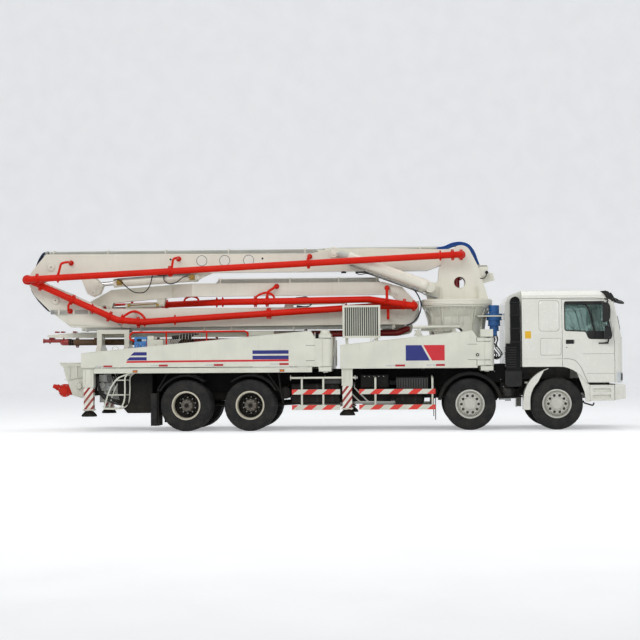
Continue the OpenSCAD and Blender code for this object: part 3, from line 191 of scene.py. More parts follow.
def stripes(name, a, b, period, slope, duty, low, low_rgb):
    """Diagonal hazard stripes across X and Z below the height low, one plain colour above it"""
    m = Nodes(name)
    x, y, z = m.xyz()
    ahead = 40.0  # keeps the sum positive all over the truck
    u = m.math("ADD", x, m.math("MULTIPLY", z, slope))
    f = m.math("FRACT", m.math("DIVIDE", m.math("ADD", u, ahead), period))
    k = m.math("GREATER_THAN", f, duty)
    c = m.mix(k, lin(*a), lin(*b))
    c = m.mix(m.math("GREATER_THAN", z, low), c, lin(*low_rgb))
    dirt = m.remap(m.noise(7, 5), 0.42, 0.7, 0, 0.3)
    m.link(m.mix(dirt, c, lin(140, 128, 110)), m.bsdf.inputs["Base Color"])
    m.link(m.remap(m.noise(20, 3), 0.3, 0.7, 0.35, 0.55), m.bsdf.inputs["Roughness"])
    m.bump(m.noise(80, 2), 0.05, 0.001)
    return m.mat


CREAM = paint("cream_paint", (220, 220, 207), streak=0.10)
BOOM = paint("boom_paint", (227, 225, 211), streak=0.08, mottle=0.03)
CABW = paint("cab_paint", (229, 229, 220), rough=0.24, coat=0.5, streak=0.05, mottle=0.02, bumpy=0.02)
RED = paint("red_paint", (208, 28, 3), rough=0.40, coat=0.0, streak=0.06, spec=0.18)
# The pipes' red darkened for the parts that lie in shade under the booms and inside the turret: painted shade
RED_IN_SHADE = paint("red_paint_in_shade", (150, 28, 26), rough=0.4, streak=0.15)
BLACK = paint("black_paint", (15, 16, 17), rough=0.6, coat=0.0, dust=0.08, mottle=0.15, low=1.5, spec=0.15)
BLUE = paint("blue_paint", (24, 92, 160), rough=0.3, coat=0.4)
PANELBLUE = paint("panel_blue", (56, 130, 200), rough=0.4)
TYRE = rubber("tyre_rubber", (26, 26, 27), dust=0.10)
RIMSTEEL = paint("rim_silver", (200, 200, 192), rough=0.38, coat=0.1, dust=0.2, mottle=0.05)
HUB = paint("hub_dark", (62, 62, 60), rough=0.55, coat=0.0, dust=0.5, mottle=0.2)
RIMCREAM = paint("rim_cream", (205, 200, 182), rough=0.4, dust=0.35)
CHROME = metal("chromed_steel", (210, 212, 214), rough=0.12)
ZINC = metal("zinc_steel", (168, 170, 170), rough=0.42)
BRASS = metal("yellow_zinc", (176, 146, 80), rough=0.4)
GREY = paint("grey_line_paint", (178, 180, 174), rough=0.4, streak=0.2)
COOLER = metal("cooler_fins", (92, 96, 88), rough=0.55, metallic=0.4)
HOSEBLUE = rubber("hose_blue_sleeve", (18, 76, 150), dust=0.08, rough=0.5)
HOSENAVY = rubber("hose_navy_sleeve", (22, 34, 66), dust=0.1, rough=0.55)
HOSEBLACK = rubber("hose_black", (20, 20, 21), dust=0.12, rough=0.5)
HOSEBROWN = rubber("hose_brown", (98, 72, 46), dust=0.3, rough=0.8)
PLASTIC = rubber("black_plastic", (15, 16, 17), dust=0.06, rough=0.5, grain=400)
CLOTH = rubber("seat_cloth", (52, 54, 58), dust=0.05, rough=0.9, grain=600)
LEG = stripes("leg_stripes", (150, 30, 30), (232, 230, 220), 0.13, -0.77, duty=0.43, low=0.935,
              low_rgb=(226, 225, 213))
CASTING = rubber("casting", (70, 70, 70), dust=0.4, rough=0.6)


def glass():
    m = Nodes("cab_glass_tint")
    m.link(m.remap(m.noise(3, 3), 0.3, 0.7, 0.02, 0.06), m.bsdf.inputs["Roughness"])
    m.link(m.mix(m.remap(m.noise(2, 2), 0.4, 0.6), lin(120, 158, 150), lin(132, 168, 160)),
           m.bsdf.inputs["Base Color"])
    m.set(Transmission_Weight=0.85, IOR=1.45, Alpha=0.55)
    m.mat.blend_method = "BLEND"
    return m.mat


GLASS = glass()

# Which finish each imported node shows
BY_NODE = {"axles": BLACK, "chassis_frame": BLACK, "mudguards": BLACK, "tanks": BLACK, "engine": CASTING,
           "agitator": CASTING, "cab": CABW, "door_l": CABW, "door_r": CABW, "bumper": CABW, "cab_glass": GLASS,
           "cab_interior": CLOTH, "cab_trim": PLASTIC, "mirror_l": PLASTIC, "mirror_r": PLASTIC, "slew_drive": BLUE,
           "end_hose": HOSEBROWN, "lift_rods": GREY, "lift_barrels": BOOM, "handrail": RED, "turret": BOOM,
           "pedestal": CREAM, "side_guards": CREAM}
BY_START = (("knuckle", BLACK), ("pipe", RED), ("wheel", TYRE), ("boom", BOOM), ("jack", LEG), ("", CREAM))
for name, node in NODES.items():
    kind = BY_NODE.get(name) or next(k for start, k in BY_START if name.startswith(start))
    node.data.materials.clear()
    node.data.materials.append(kind)


def paint_faces(name, kind, test):
    """Gives the faces of a node whose middle passes the test another finish"""
    me = NODES[name].data
    me.materials.append(kind)
    k = len(me.materials) - 1
    for p in me.polygons:
        if test(p.center):
            p.material_index = k


paint_faces("mudguards", CABW, lambda c: c.x > 4.2)
paint_faces("hopper", RED, lambda c: c.x < -5.2 and abs(c.y) < 0.32 and c.z < 0.96)
paint_faces("oil_cooler", COOLER, lambda c: 0.588 < c.x < 1.298 and -0.972 < c.y < -0.918 and 1.983 < c.z < 2.587)
for j in ("fl", "fr", "rl", "rr"):
    paint_faces("jack_" + j, BLACK, lambda c: c.z < 0.441)


# Shapes
TIP = 0.0005  # radius that closes a turned profile


class Shape:
    """Points and faces of one piece, filled by the calls below and turned into an object by obj()"""

    def __init__(self):
        self.v, self.f, self.m = [], [], []

    def rows(self, rows, m=0, ring=True, loop=False, flip=False):
        """Quads between rows of points. ring joins each row's ends, loop joins the last row to the first"""
        n = len(rows[0])
        b = len(self.v)
        for r in rows:
            self.v += [tuple(p) for p in r]
        for i in range(len(rows) if loop else len(rows) - 1):
            k = (i + 1) % len(rows)
            for j in range(n if ring else n - 1):
                j2 = (j + 1) % n
                q = (b + i * n + j, b + i * n + j2, b + k * n + j2, b + k * n + j)
                self.f.append(q[::-1] if flip else q)
                self.m.append(m)

    def face(self, pts, m=0):
        b = len(self.v)
        self.v += [tuple(p) for p in pts]
        self.f.append(tuple(range(b, b + len(pts))))
        self.m.append(m)

    def tube(self, path, r, sides=10, m=0):
        """Round tube along points; r is one radius or one for each point"""
        P = [Vector(p) for p in path]
        rr = r if isinstance(r, (list, tuple)) else [r] * len(P)
        up = None
        rows = []
        for i, p in enumerate(P):
            t = (P[min(i + 1, len(P) - 1)] - P[max(i - 1, 0)]).normalized()
            if up is None:
                up = t.orthogonal().normalized()
            up = (up - t * up.dot(t)).normalized()
            w = t.cross(up)
            turns = [2 * pi * k / sides for k in range(sides)]
            rows.append([p + (up * cos(a) + w * sin(a)) * rr[i] for a in turns])
        self.rows(rows, m, flip=True)
        self.face(rows[0], m)
        self.face(rows[-1][::-1], m)
        return self

    def box(self, lo, hi, m=0):
        x0, y0, z0 = lo
        x1, y1, z1 = hi
        c = [(x0, y0, z0), (x1, y0, z0), (x1, y1, z0), (x0, y1, z0), (x0, y0, z1), (x1, y0, z1), (x1, y1, z1),
             (x0, y1, z1)]
        for q in ((0, 3, 2, 1), (4, 5, 6, 7), (0, 1, 5, 4), (1, 2, 6, 5), (2, 3, 7, 6), (3, 0, 4, 7)):
            self.face([c[i] for i in q], m)
        return self

    def prism(self, pts, a, b, m=0, plane="xz"):
        """Outline drawn from a to b along the missing axis"""
        put = (lambda p, t: (p[0], t, p[1])) if plane == "xz" else (lambda p, t: (t, p[0], p[1]))
        self.rows([[put(p, a) for p in pts], [put(p, b) for p in pts]], m)
        self.face([put(p, a) for p in pts][::-1], m)
        self.face([put(p, b) for p in pts], m)
        return self

    def lathe(self, prof, c, axis="y", n=48, m=0, wave=None):
        """Profile of (radius, place along the axis) turned round an axis through c"""
        rows = []
        for k, (r, t) in enumerate(prof):
            row = []
            for i in range(n):
                a = 2 * pi * i / n
                q = wave(k, i, r) if wave else r
                u, w = q * cos(a), q * sin(a)
                row.append({"y": (c[0] + u, c[1] + t, c[2] + w), "x": (c[0] + t, c[1] + u, c[2] + w),
                            "z": (c[0] + u, c[1] + w, c[2] + t)}[axis])
            rows.append(row)
        self.rows(rows, m)
        return self

    def bolt(self, p, axis, r=0.012, h=0.01, m=0):
        """Six-sided bolt head standing on p"""
        return self.tube([p, Vector(p) + Vector(axis) * h], r, 6, m)

    def bolts(self, c, radius, n, axis, r, h, m=0, turn=0.0):
        """n bolt heads on a circle round c that stand along the Y or Z axis"""
        for k in range(n):
            a = 2 * pi * k / n + turn
            u, w = radius * cos(a), radius * sin(a)
            self.bolt(Vector(c) + Vector((u, w, 0) if axis[2] else (u, 0, w)), axis, r, h, m)

    def band(self, p, d, a, b, radii, sides, m=0):
        """Ring from a to b along the direction d from p; its outer two radii lie 2 mm beyond the inner ones"""
        p, d = Vector(p), Vector(d)
        self.tube([p + d * t for t in (a, a + 0.002, b - 0.002, b)], radii, sides, m)

    def gussets(self, c, outline, n, half, turn=0.0):
        """n upright plates that stand out from a vertical axis through c; the outline is (radius, z)"""
        for k in range(n):
            a = 2 * pi * k / n + turn
            u, w = Vector((cos(a), sin(a), 0)), Vector((-sin(a), cos(a), 0)) * half
            near, far = [[Vector(c) + u * r + w * q + Vector((0, 0, z)) for r, z in outline] for q in (-1, 1)]
            self.rows([near, far])
            self.face(near)
            self.face(far[::-1])

    def sided(self, tag):
        """Moves a piece drawn on the right to the left side when tag is l"""
        if tag == "l":
            self.v = [(x, -y, z) for x, y, z in self.v]

    def mirrored(self):
        """Adds the mirror image on the other side of the truck"""
        b = len(self.v)
        self.v += [(x, -y, z) for x, y, z in self.v]
        for q, k in zip(list(self.f), list(self.m)):
            self.f.append(tuple(i + b for i in q)[::-1])
            self.m.append(k)
        return self

    def obj(self, name, mats, body, slot="white_paint", bevel=0.0, angle=35, seg=1, blend=None, node=None):
        """Makes the object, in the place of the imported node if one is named"""
        me = bpy.data.meshes.new(name)
        me.from_pydata(self.v, [], self.f)
        for k in mats:
            me.materials.append(k)
        me.polygons.foreach_set("material_index", self.m)
        me.polygons.foreach_set("use_smooth", [True] * len(self.f))
        bm = bmesh.new()
        bm.from_mesh(me)
        bmesh.ops.remove_doubles(bm, verts=bm.verts, dist=1e-5)
        bmesh.ops.recalc_face_normals(bm, faces=bm.faces)
        bm.to_mesh(me)
        bm.free()
        me.set_sharp_from_angle(angle=math.radians(angle))
        o = bpy.data.objects.new(name, me)
        bpy.context.scene.collection.objects.link(o)
        if bevel:
            k = o.modifiers.new("edge", "BEVEL")
            k.width = bevel
            k.segments = seg
            k.limit_method = "ANGLE"
            k.angle_limit = math.radians(angle)
        if blend:
            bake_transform(o)
        else:
            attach(o, body)
        if node:
            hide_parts(node)
        return o


def curve(points, n=8):
    """Smooth path through points"""
    P = [Vector(p) for p in points]
    P = [P[0] * 2 - P[1]] + P + [P[-1] * 2 - P[-2]]
    out = []
    for i in range(1, len(P) - 2):
        a, b, c, d = P[i - 1:i + 3]
        for k in range(n):
            t = k / n
            bow, twist = 2 * a - 5 * b + 4 * c - d, 3 * b - a - 3 * c + d
            out.append(0.5 * ((2 * b) + (c - a) * t + bow * t * t + twist * t ** 3))
    return out + [P[-2]]


def fillet(points, r, n=6):
    """Straight runs joined by round bends of radius r"""
    P = [Vector(p) for p in points]
    out = [P[0]]
    for a, p, b in zip(P, P[1:], P[2:]):
        u, v = (a - p).normalized(), (b - p).normalized()
        half = math.acos(max(-1, min(1, u.dot(v)))) / 2
        if half > 1.55:
            continue
        d = min(r / math.tan(half), (a - p).length * 0.49, (b - p).length * 0.49)
        q, w = p + u * d, p + v * d
        for k in range(n + 1):
            t = k / n
            out.append(q * (1 - t) ** 2 + p * 2 * t * (1 - t) + w * t * t)
    return out + [P[-1]]


def arc(cx, cz, r, a, b, n):
    """Points of an arc from a to b degrees"""
    turns = [math.radians(a + (b - a) * i / n) for i in range(n + 1)]
    return [(cx + r * cos(t), cz + r * sin(t)) for t in turns]


def rect(x0, x1, z0, z1):
    return [(x0, z0), (x1, z0), (x1, z1), (x0, z1)]


def span(q, a, b):
    """The two Y values on side q (1 or -1), the smaller one first"""
    return sorted((q * a, q * b))


def outward(prof, side):
    """Turned profile whose second number runs away from the middle of the truck on either side"""
    return [(r, side * y) for r, y in prof]


PIN = {j["name"]: Vector(j["pos_m"]) for j in frame["joints"] if "pos_m" in j}

# Wheels
TYRE_R, TYRE_H = 0.542, 0.148  # radius and half width
TWIN = 0.17  # middle of a twin tyre from the middle of the pair


def tyre(s, c, driven):
    """One tyre round c: ribbed for steering, with shoulder blocks when driven"""
    h = TYRE_H
    half = [(0.290, 0.100), (0.305, 0.112), (0.330, 0.128), (0.370, 0.143), (0.415, h), (0.455, 0.1465),
            (0.470, 0.1480), (0.478, 0.1455), (0.505, 0.140), (0.527, 0.130), (0.534, 0.122), (0.5385, 0.105)]
    ribs = []
    for y in (0.084, 0.030):
        ribs += [(0.5405, y + 0.005), (0.529, y + 0.003), (0.529, y - 0.003), (0.5415, y - 0.005)]
    prof = half + ribs
    prof = prof + [(r, -y) for r, y in prof[::-1]]
    lugs = {8, 9, 10, 11} if driven else {9, 10}
    total = len(prof)

    def wave(k, i, r):
        kk = min(k, total - 1 - k)
        if kk in lugs and i % 3 == 0:
            return r - (0.016 if driven else 0.007)
        if kk in (12, 15, 16, 19) and i % 6 == (0 if kk < 16 else 3):
            return r - 0.004
        return r
    s.lathe(prof, c, "y", 120, 0, wave)
    r0 = 0.345  # ring moulded into the side wall
    for sg in (-1, 1):
        s.lathe([(r0, sg * 0.1325), (r0 + 0.004, sg * 0.1375), (r0 + 0.010, sg * 0.1395), (r0 + 0.014, sg * 0.138)],
                c, "y", 96)


def holed_ring(s, c, side, r0, r1, y, n, rh, rc, depth, m, dark):
    """Flat ring with n round holes and their walls; each hole is closed at its depth by a face in the material
    numbered dark, which paints the shade inside the hole
    """
    k = 16
    for i in range(n):
        a0, a1 = 2 * pi * (i - 0.5) / n, 2 * pi * (i + 0.5) / n
        am = (a0 + a1) / 2
        outer, inner = [], []
        for j in range(k):
            t = 2 * pi * j / k
            inner.append((rc * cos(am) + rh * cos(t + am), rc * sin(am) + rh * sin(t + am)))
            dx, dy = cos(t), sin(t)
            f = min((r1 - rc) / dx if dx > 1e-6 else 9, (r0 - rc) / dx if dx < -1e-6 else 9,
                    abs((a1 - am) * rc / dy) if abs(dy) > 1e-6 else 9)
            rr = rc + dx * f
            aa = am + dy * f / rc
            outer.append((rr * cos(aa), rr * sin(aa)))
        row = lambda pts, yy: [(c[0] + p[0], c[1] + side * yy, c[2] + p[1]) for p in pts]
        s.rows([row(outer, y), row(inner, y)], m)
        s.rows([row(inner, y), row(inner, y - depth)], m)
        # Dark bottom face of the hole: painted shade
        s.face(row(inner, y - depth), dark)


def wheel_front(name, x, side, body):
    c = Vector((x, side * 1.011, TYRE_R))
    s = Shape()
    tyre(s, c, False)
    s.obj("tyre_" + body, [TYRE], body, "tyre", angle=30, node=name)
    r = Shape()
    # Flange, drop centre and the bulged disc
    r.lathe(outward([(0.286, -0.106), (0.302, -0.116), (0.302, -0.121), (0.270, -0.118), (0.256, 0.02),
                     (0.256, 0.055), (0.270, 0.108), (0.276, 0.1195), (0.296, 0.1215), (0.3025, 0.1195),
                     (0.3025, 0.114), (0.286, 0.106)], side), c, "y", 72, 0)
    r.lathe(outward([(0.262, 0.060), (0.248, 0.064), (0.238, 0.078), (0.229, 0.116), (0.222, 0.132), (0.212, 0.139)],
                    side), c, "y", 72)
    holed_ring(r, c, side, 0.140, 0.212, 0.139, 10, 0.031, 0.179, 0.05, 0, 1)
    r.lathe(outward([(0.140, 0.139), (0.137, 0.146), (0.131, 0.148), (0.128, 0.1445), (0.122, 0.1445), (0.119, 0.156),
                     (0.108, 0.165), (0.085, 0.169), (0.04, 0.1705), (TIP, 0.171)], side), c, "y", 60, 0)
    for i in range(10):
        a = 2 * pi * (i + 0.5) / 10
        p = c + Vector((0.158 * cos(a), side * 0.139, 0.158 * sin(a)))
        r.tube([p, p + Vector((0, side * 0.004, 0))], 0.017, 12)
        r.bolt(p + Vector((0, side * 0.004, 0)), (0, side, 0), 0.0125, 0.014)
    r.bolts(c + Vector((0, side * 0.166, 0)), 0.100, 6, (0, side, 0), 0.007, 0.006)
    # Tyre valve
    r.tube([c + Vector((0.232, side * 0.10, 0.03)), c + Vector((0.225, side * 0.142, 0.03))], 0.005, 8, 1)
    r.obj("rim_" + body, [RIMSTEEL, HUB], body, "steel")
    d = Shape()
    d.lathe(outward([(0.215, -0.09), (0.215, 0.04), (0.108, 0.04), (0.108, -0.09)], side), c, "y", 48, 0)
    d.obj("brake_drum_" + body, [CASTING], body, "cast_iron")


def wheel_rear(name, x, side, body):
    c = Vector((x, side * 0.915, TYRE_R))
    s = Shape()
    for k in (-1, 1):
        tyre(s, c + Vector((0, k * TWIN, 0)), True)
    s.obj("tyres_" + body, [TYRE], body, "tyre", angle=30, node=name)
    r = Shape()
    g = TWIN
    for k in (-1, 1):
        r.lathe(outward([(0.286, k * g - 0.106), (0.3025, k * g - 0.114), (0.3025, k * g - 0.1205),
                         (0.276, k * g - 0.120), (0.266, k * g - 0.10), (0.258, k * g), (0.266, k * g + 0.10),
                         (0.276, k * g + 0.120), (0.3025, k * g + 0.1205), (0.3025, k * g + 0.114),
                         (0.286, k * g + 0.106)], side), c, "y", 72, 0)
    r.lathe(outward([(0.2585, 0.12), (0.2585, 0.03), (0.25, 0.018), (0.228, 0.012)], side), c, "y", 72, 1)
    holed_ring(r, c, side, 0.150, 0.228, 0.012, 10, 0.024, 0.196, 0.05, 1, 2)
    r.lathe(outward([(0.150, 0.012), (0.147, 0.03), (0.142, 0.04), (0.128, 0.045), (0.126, 0.13), (0.122, 0.175),
                     (0.114, 0.186), (0.106, 0.190), (0.104, 0.203), (0.096, 0.209), (0.060, 0.212), (0.056, 0.206),
                     (0.02, 0.204), (TIP, 0.204)], side), c, "y", 60, 2)
    for i in range(10):
        a = 2 * pi * (i + 0.5) / 10
        p = c + Vector((0.168 * cos(a), side * 0.012, 0.168 * sin(a)))
        r.tube([p, p + Vector((0, side * 0.006, 0))], 0.019, 12, 2)
        r.bolt(p + Vector((0, side * 0.006, 0)), (0, side, 0), 0.014, 0.022, 3)
        r.bolt(c + Vector((0.115 * cos(a), side * 0.184, 0.115 * sin(a))), (0, side, 0), 0.008, 0.010, 3)
    r.bolts(c + Vector((0, side * 0.209, 0)), 0.078, 4, (0, side, 0), 0.008, 0.007, 3, 0.4)
    r.obj("rims_" + body, [RIMCREAM, BLACK, HUB, ZINC], body)


for i, k in enumerate(("wheel_1", "wheel_2", "wheel_3", "wheel_4")):
    for sd, tag in ((1, "l"), (-1, "r")):
        (wheel_front if i < 2 else wheel_rear)(k + tag, PIN["roll_%d%s" % (i + 1, tag)].x, sd, k + tag)


# Pipes of the boom, with couplings, elbows and bracket arms
K = [PIN["boom_lift"]] + [PIN["knee_%d" % i] for i in range(1, 5)]
PIPE_R = 0.07
FLANGE = (0.085, 0.105, 0.105, 0.085)  # radii of the ring where two runs meet at a knee
ARM_Y = 0.34  # middle of sections 4 and 5
SLEW_X = 2.975  # axis of the turret


def coupling(s, p, d):
    """Two-part clamp round a pipe joint, with its ears and bolts"""
    p, d = Vector(p), Vector(d).normalized()
    r = 0.092
    steps = ((-0.036, 0.071), (-0.0355, 0.084), (-0.028, r), (-0.008, r), (-0.006, 0.083), (0.006, 0.083), (0.008, r),
             (0.028, r), (0.0355, 0.084), (0.036, 0.071))
    s.tube([p + d * a for a, q in steps], [q for a, q in steps], 24)
    up = Vector((0, 0, 1)) if abs(d.z) < 0.9 else Vector((1, 0, 0))
    up = (up - d * up.dot(d)).normalized()
    w = d.cross(up)
    for sg in (-1, 1):
        for t in (-0.013, 0.013):
            a = p + up * sg * (r + 0.012) + w * t
            s.tube([a - d * 0.03, a + d * 0.03], 0.011, 8)
        a = p + up * sg * (r + 0.012)
        s.tube([a - w * 0.035, a + w * 0.035], 0.008, 6)


def pipe(path, bend, rings, r=PIPE_R):
    """Run of the delivery pipe with a coupling at each of the rings (place, direction)"""
    s = Shape()
    s.tube(fillet(path, bend, 9), r, 24)
    for p, d in rings:
        coupling(s, p, d)
    return s


def flange_arm(s, pts, r, y_end):
    """Bent bracket tube that ends in a bolted disc on a boom side"""
    s.tube(fillet(pts, 0.07, 6), r, 12)
    e = Vector(pts[-1])
    s.tube([e, (e.x, y_end, e.z)], 0.045, 20)
    s.tube([(e.x, e.y - 0.012, e.z), (e.x, e.y + 0.004, e.z)], 0.057, 20)
    s.bolts((e.x, e.y - 0.012, e.z), 0.042, 4, (0, -1, 0), 0.007, 0.008, 0, pi / 4)


def saddle(s, p, d):
    """Narrow band clamp with two studs"""
    p, d = Vector(p), Vector(d).normalized()
    s.band(p, d, -0.022, 0.022, (PIPE_R, 0.079, 0.079, PIPE_R), 24)
    for sg in (-1, 1):
        a = p + Vector((0, 0, sg * 0.078))
        s.tube([a, a + Vector((0, 0, sg * 0.034))], 0.012, 8)
        z0, z1 = sorted((a.z, a.z + sg * 0.014))
        s.box((a.x - 0.02, a.y - 0.028, z0), (a.x + 0.02, a.y + 0.028, z1))


def on_line(a, b, x):
    """Point of the straight line through a and b at this X"""
    a, b = Vector(a), Vector(b)
    return a + (b - a) * ((x - a.x) / (b.x - a.x))


P1Y, P2Y, P3Y, P4Y = -0.62, -0.37, 0.71, 0.55
A1, B1 = (K[0].x, P1Y, K[0].z), (K[1].x, P1Y, K[1].z)
d1 = Vector(A1) - Vector(B1)
s = pipe([(K[0].x, -0.38, K[0].z), A1, B1, (K[1].x, P1Y + 0.11, K[1].z)], 0.15,
         [((K[0].x, -0.47, K[0].z), (0, 1, 0)), (on_line(A1, B1, 2.88), d1), (on_line(A1, B1, -6.05), d1),
          (on_line(A1, B1, -3.17), d1), (on_line(A1, B1, -0.19), d1)])
s.band((K[1].x, P1Y, K[1].z), (0, 1, 0), 0.07, 0.11, FLANGE, 28)
s.bolts((K[1].x, P1Y + 0.07, K[1].z), 0.09, 8, (0, -1, 0), 0.010, 0.012)
for x, dx, zt in ((-5.60, 0.20, 3.634), (-3.13, 0.09, 3.70), (-0.187, 0.0, 3.722)):
    p = on_line(A1, B1, x)
    saddle(s, p, d1)
    flange_arm(s, [p + Vector((0, 0, 0.05)), (x + dx * 0.35, P1Y, zt - 0.03), (x + dx, P1Y + 0.04, zt),
                   (x + dx, -0.212, zt)], 0.026, -0.199)
p = on_line(A1, B1, 2.62)
saddle(s, p, d1)
s.tube([(2.62, P1Y + 0.05, p.z), (2.62, -0.2, p.z)], 0.03, 12)
s.obj("delivery_pipe_1", [RED], "boom_1", "red_paint", node="pipe_1")

P2 = [(K[1].x, P2Y, K[1].z), (-4.36, P2Y, 2.38), (-3.80, P2Y, 2.33), (1.20, P2Y, 2.628), (K[2].x, P2Y, K[2].z)]
da, db = Vector(P2[1]) - Vector(P2[0]), Vector(P2[3]) - Vector(P2[2])
s = pipe([(K[1].x, P1Y + 0.134, K[1].z)] + P2 + [(K[2].x, P2Y - 0.1097, K[2].z)], 0.15,
         [(on_line(P2[0], P2[1], -6.02), da), (on_line(P2[0], P2[1], -5.34), da), (on_line(P2[0], P2[1], -4.53), da),
          (on_line(P2[2], P2[3], -3.90), db), (on_line(P2[2], P2[3], -1.05), db),
          ((K[2].x, P2Y - 0.075, K[2].z), (0, 1, 0))])
s.band((K[1].x, P1Y, K[1].z), (0, 1, 0), 0.134, 0.17, FLANGE, 28)
p = on_line(P2[0], P2[1], -5.38)
flange_arm(s, [p + Vector((0, 0, -0.05)), (-5.43, P2Y, p.z - 0.15), (-5.43, P2Y, p.z - 0.25),
               (-5.43, -0.182, p.z - 0.26)], 0.026, -0.150)
s.tube(curve([(-4.27, P2Y, 2.40), (-4.16, P2Y + 0.02, 2.50), (-3.99, P2Y + 0.02, 2.565), (-3.83, P2Y + 0.02, 2.49),
              (-3.74, P2Y, 2.37)], 6), 0.026, 12)
for x, z in ((-4.25, 2.39), (-3.76, 2.335)):
    saddle(s, (x, P2Y, z), db)
s.tube([(-3.99, P2Y + 0.02, 2.56), (-3.99, -0.172, 2.56)], 0.03, 12)
for x in (-4.9, -3.1, -1.1, 0.6):
    p = on_line(*((P2[0], P2[1]) if x < -4.36 else (P2[2], P2[3])), x)
    saddle(s, p, db)
    s.tube([p, (x, -0.168, p.z)], 0.026, 12)
s.tube([(1.50, P2Y + 0.03, 2.61), (1.50, P2Y + 0.03, 2.36)], 0.030, 12)
s.tube([(1.50, P2Y + 0.03, 2.37), (1.50, -0.168, 2.37)], 0.028, 12)
s.obj("delivery_pipe_2", [RED], "boom_2", "red_paint", node="pipe_2")

y3 = P2Y - 0.19
P3 = [(K[2].x, P2Y - 0.11, K[2].z), (K[2].x, y3, K[2].z), (1.10, -0.54, 2.77), (-1.15, -0.25, 2.757),
      (-2.10, -0.06, 2.757), (-3.40, P3Y, 2.74), (-4.90, P3Y, 2.70), (K[3].x, P3Y, K[3].z),
      (K[3].x, P3Y - 0.08, K[3].z)]
dc, dd = Vector(P3[2]) - Vector(P3[3]), Vector(P3[5]) - Vector(P3[6])
s = pipe(P3, 0.15, [(on_line(P3[1], P3[2], 1.84), Vector(P3[1]) - Vector(P3[2])), (on_line(P3[2], P3[3], -1.11), dc),
                    (on_line(P3[3], P3[4], -1.37), dc), ((-3.45, P3Y, 2.738), dd), (on_line(P3[5], P3[6], -4.8), dd)])
p = on_line(P3[2], P3[3], 1.48)
saddle(s, p, dc)
flange_arm(s, [p, (1.48, p.y, 3.0), (1.48, p.y + 0.05, 3.03), (1.48, -0.162, 3.03)], 0.030, -0.149)
p = on_line(P3[2], P3[3], -1.11)
flange_arm(s, [p, (-1.10, p.y - 0.01, 2.96), (-0.91, p.y, 3.085), (-0.91, -0.162, 3.085)], 0.028, -0.149)
s.tube(curve([(-1.36, -0.30, 2.84), (-1.28, -0.29, 2.90), (-1.13, -0.28, 2.945), (-1.0, -0.28, 2.90),
              (-0.95, -0.28, 2.83)], 6), 0.024, 12)
for x in (-2.24, -2.10):
    q = on_line(P3[4], P3[5], x) if x < -2.1 else Vector(P3[4])
    saddle(s, q, (1, 0.1, 0))
s.tube(curve([(-2.99, 0.20, 2.77), (-2.95, 0.18, 2.85), (-2.82, 0.12, 2.895), (-2.68, 0.06, 2.86),
              (-2.63, 0.03, 2.78)], 6), 0.022, 12)
s.tube([(-2.82, 0.12, 2.89), (-2.82, 0.2, 3.0)], 0.022, 12)
s.tube([(-4.2, P3Y, 2.72), (-4.2, 0.44, 2.85)], 0.026, 12)
s.obj("delivery_pipe_3", [RED], "boom_3", "red_paint", node="pipe_3")

P4Z = 2.39
P4 = [(K[3].x, P3Y - 0.0803, K[3].z), (K[3].x, P4Y, K[3].z), (-4.70, P4Y, P4Z), (1.50, P4Y, P4Z),
      (K[4].x, P4Y, K[4].z), (K[4].x, 0.452, K[4].z)]
s = pipe(P4, 0.14, [((-1.5, P4Y, P4Z), (1, 0, 0)), ((-4.5, P4Y, P4Z), (1, 0, 0)), ((1.35, P4Y, P4Z), (1, 0, 0))])
for x in (-3.6, -2.2, 0.2):
    saddle(s, (x, P4Y, P4Z), (1, 0, 0))
    s.tube([(x, P4Y, P4Z), (x, 0.444, P4Z)], 0.024, 12)
s.obj("delivery_pipe_4", [RED], "boom_4", "red_paint", node="pipe_4")

HY, HZ = 0.258, 1.91
P5 = [(K[4].x, 0.23, K[4].z), (K[4].x, 0.14, K[4].z), (1.69, 0.14, 2.062), (-0.40, 0.14, 2.045),
      (-1.0, 0.14, HZ + 0.015), (-2.0, 0.42, HZ), (-5.70, 0.42, HZ), (-5.70, HY, HZ), (-5.56, HY, HZ)]
s = pipe(P5, 0.12, [((-5.4, 0.42, HZ), (1, 0, 0)), ((-3.9, 0.42, HZ), (1, 0, 0)), ((-0.3, 0.14, 2.045), (1, 0, 0))],
         r=0.068)
for x in (-5.0, -3.6, -2.3):
    s.box((x, 0.39, HZ + 0.06), (x + 0.04, 0.424, 2.006))
    s.box((x, HY, HZ + 0.0685), (x + 0.04, 0.30, HZ + 0.084))
    s.box((x, 0.28, HZ + 0.07), (x + 0.04, 0.30, 2.006))
# Pipe 5 hangs in shade under boom 2; its darker red paints that shade
s.obj("delivery_pipe_5", [RED_IN_SHADE], "boom_5", "red_paint", node="pipe_5")

# End hose: ribbed brown rubber with crimped black couplings
s = Shape()
n = 120
s.tube([(-5.56 + 2.76 * i / n, HY, HZ) for i in range(n + 1)],
       [0.0665 + (0.0012 if i % 2 else 0) for i in range(n + 1)], 24)
for x in (-5.50, -2.86):
    s.band((x, HY, HZ), (1, 0, 0), -0.06, 0.06, (0.066, 0.0675, 0.0675, 0.066), 24, 1)
s.obj("end_hose_rubber", [HOSEBROWN, BLACK], "boom_5", "rubber", node="end_hose")

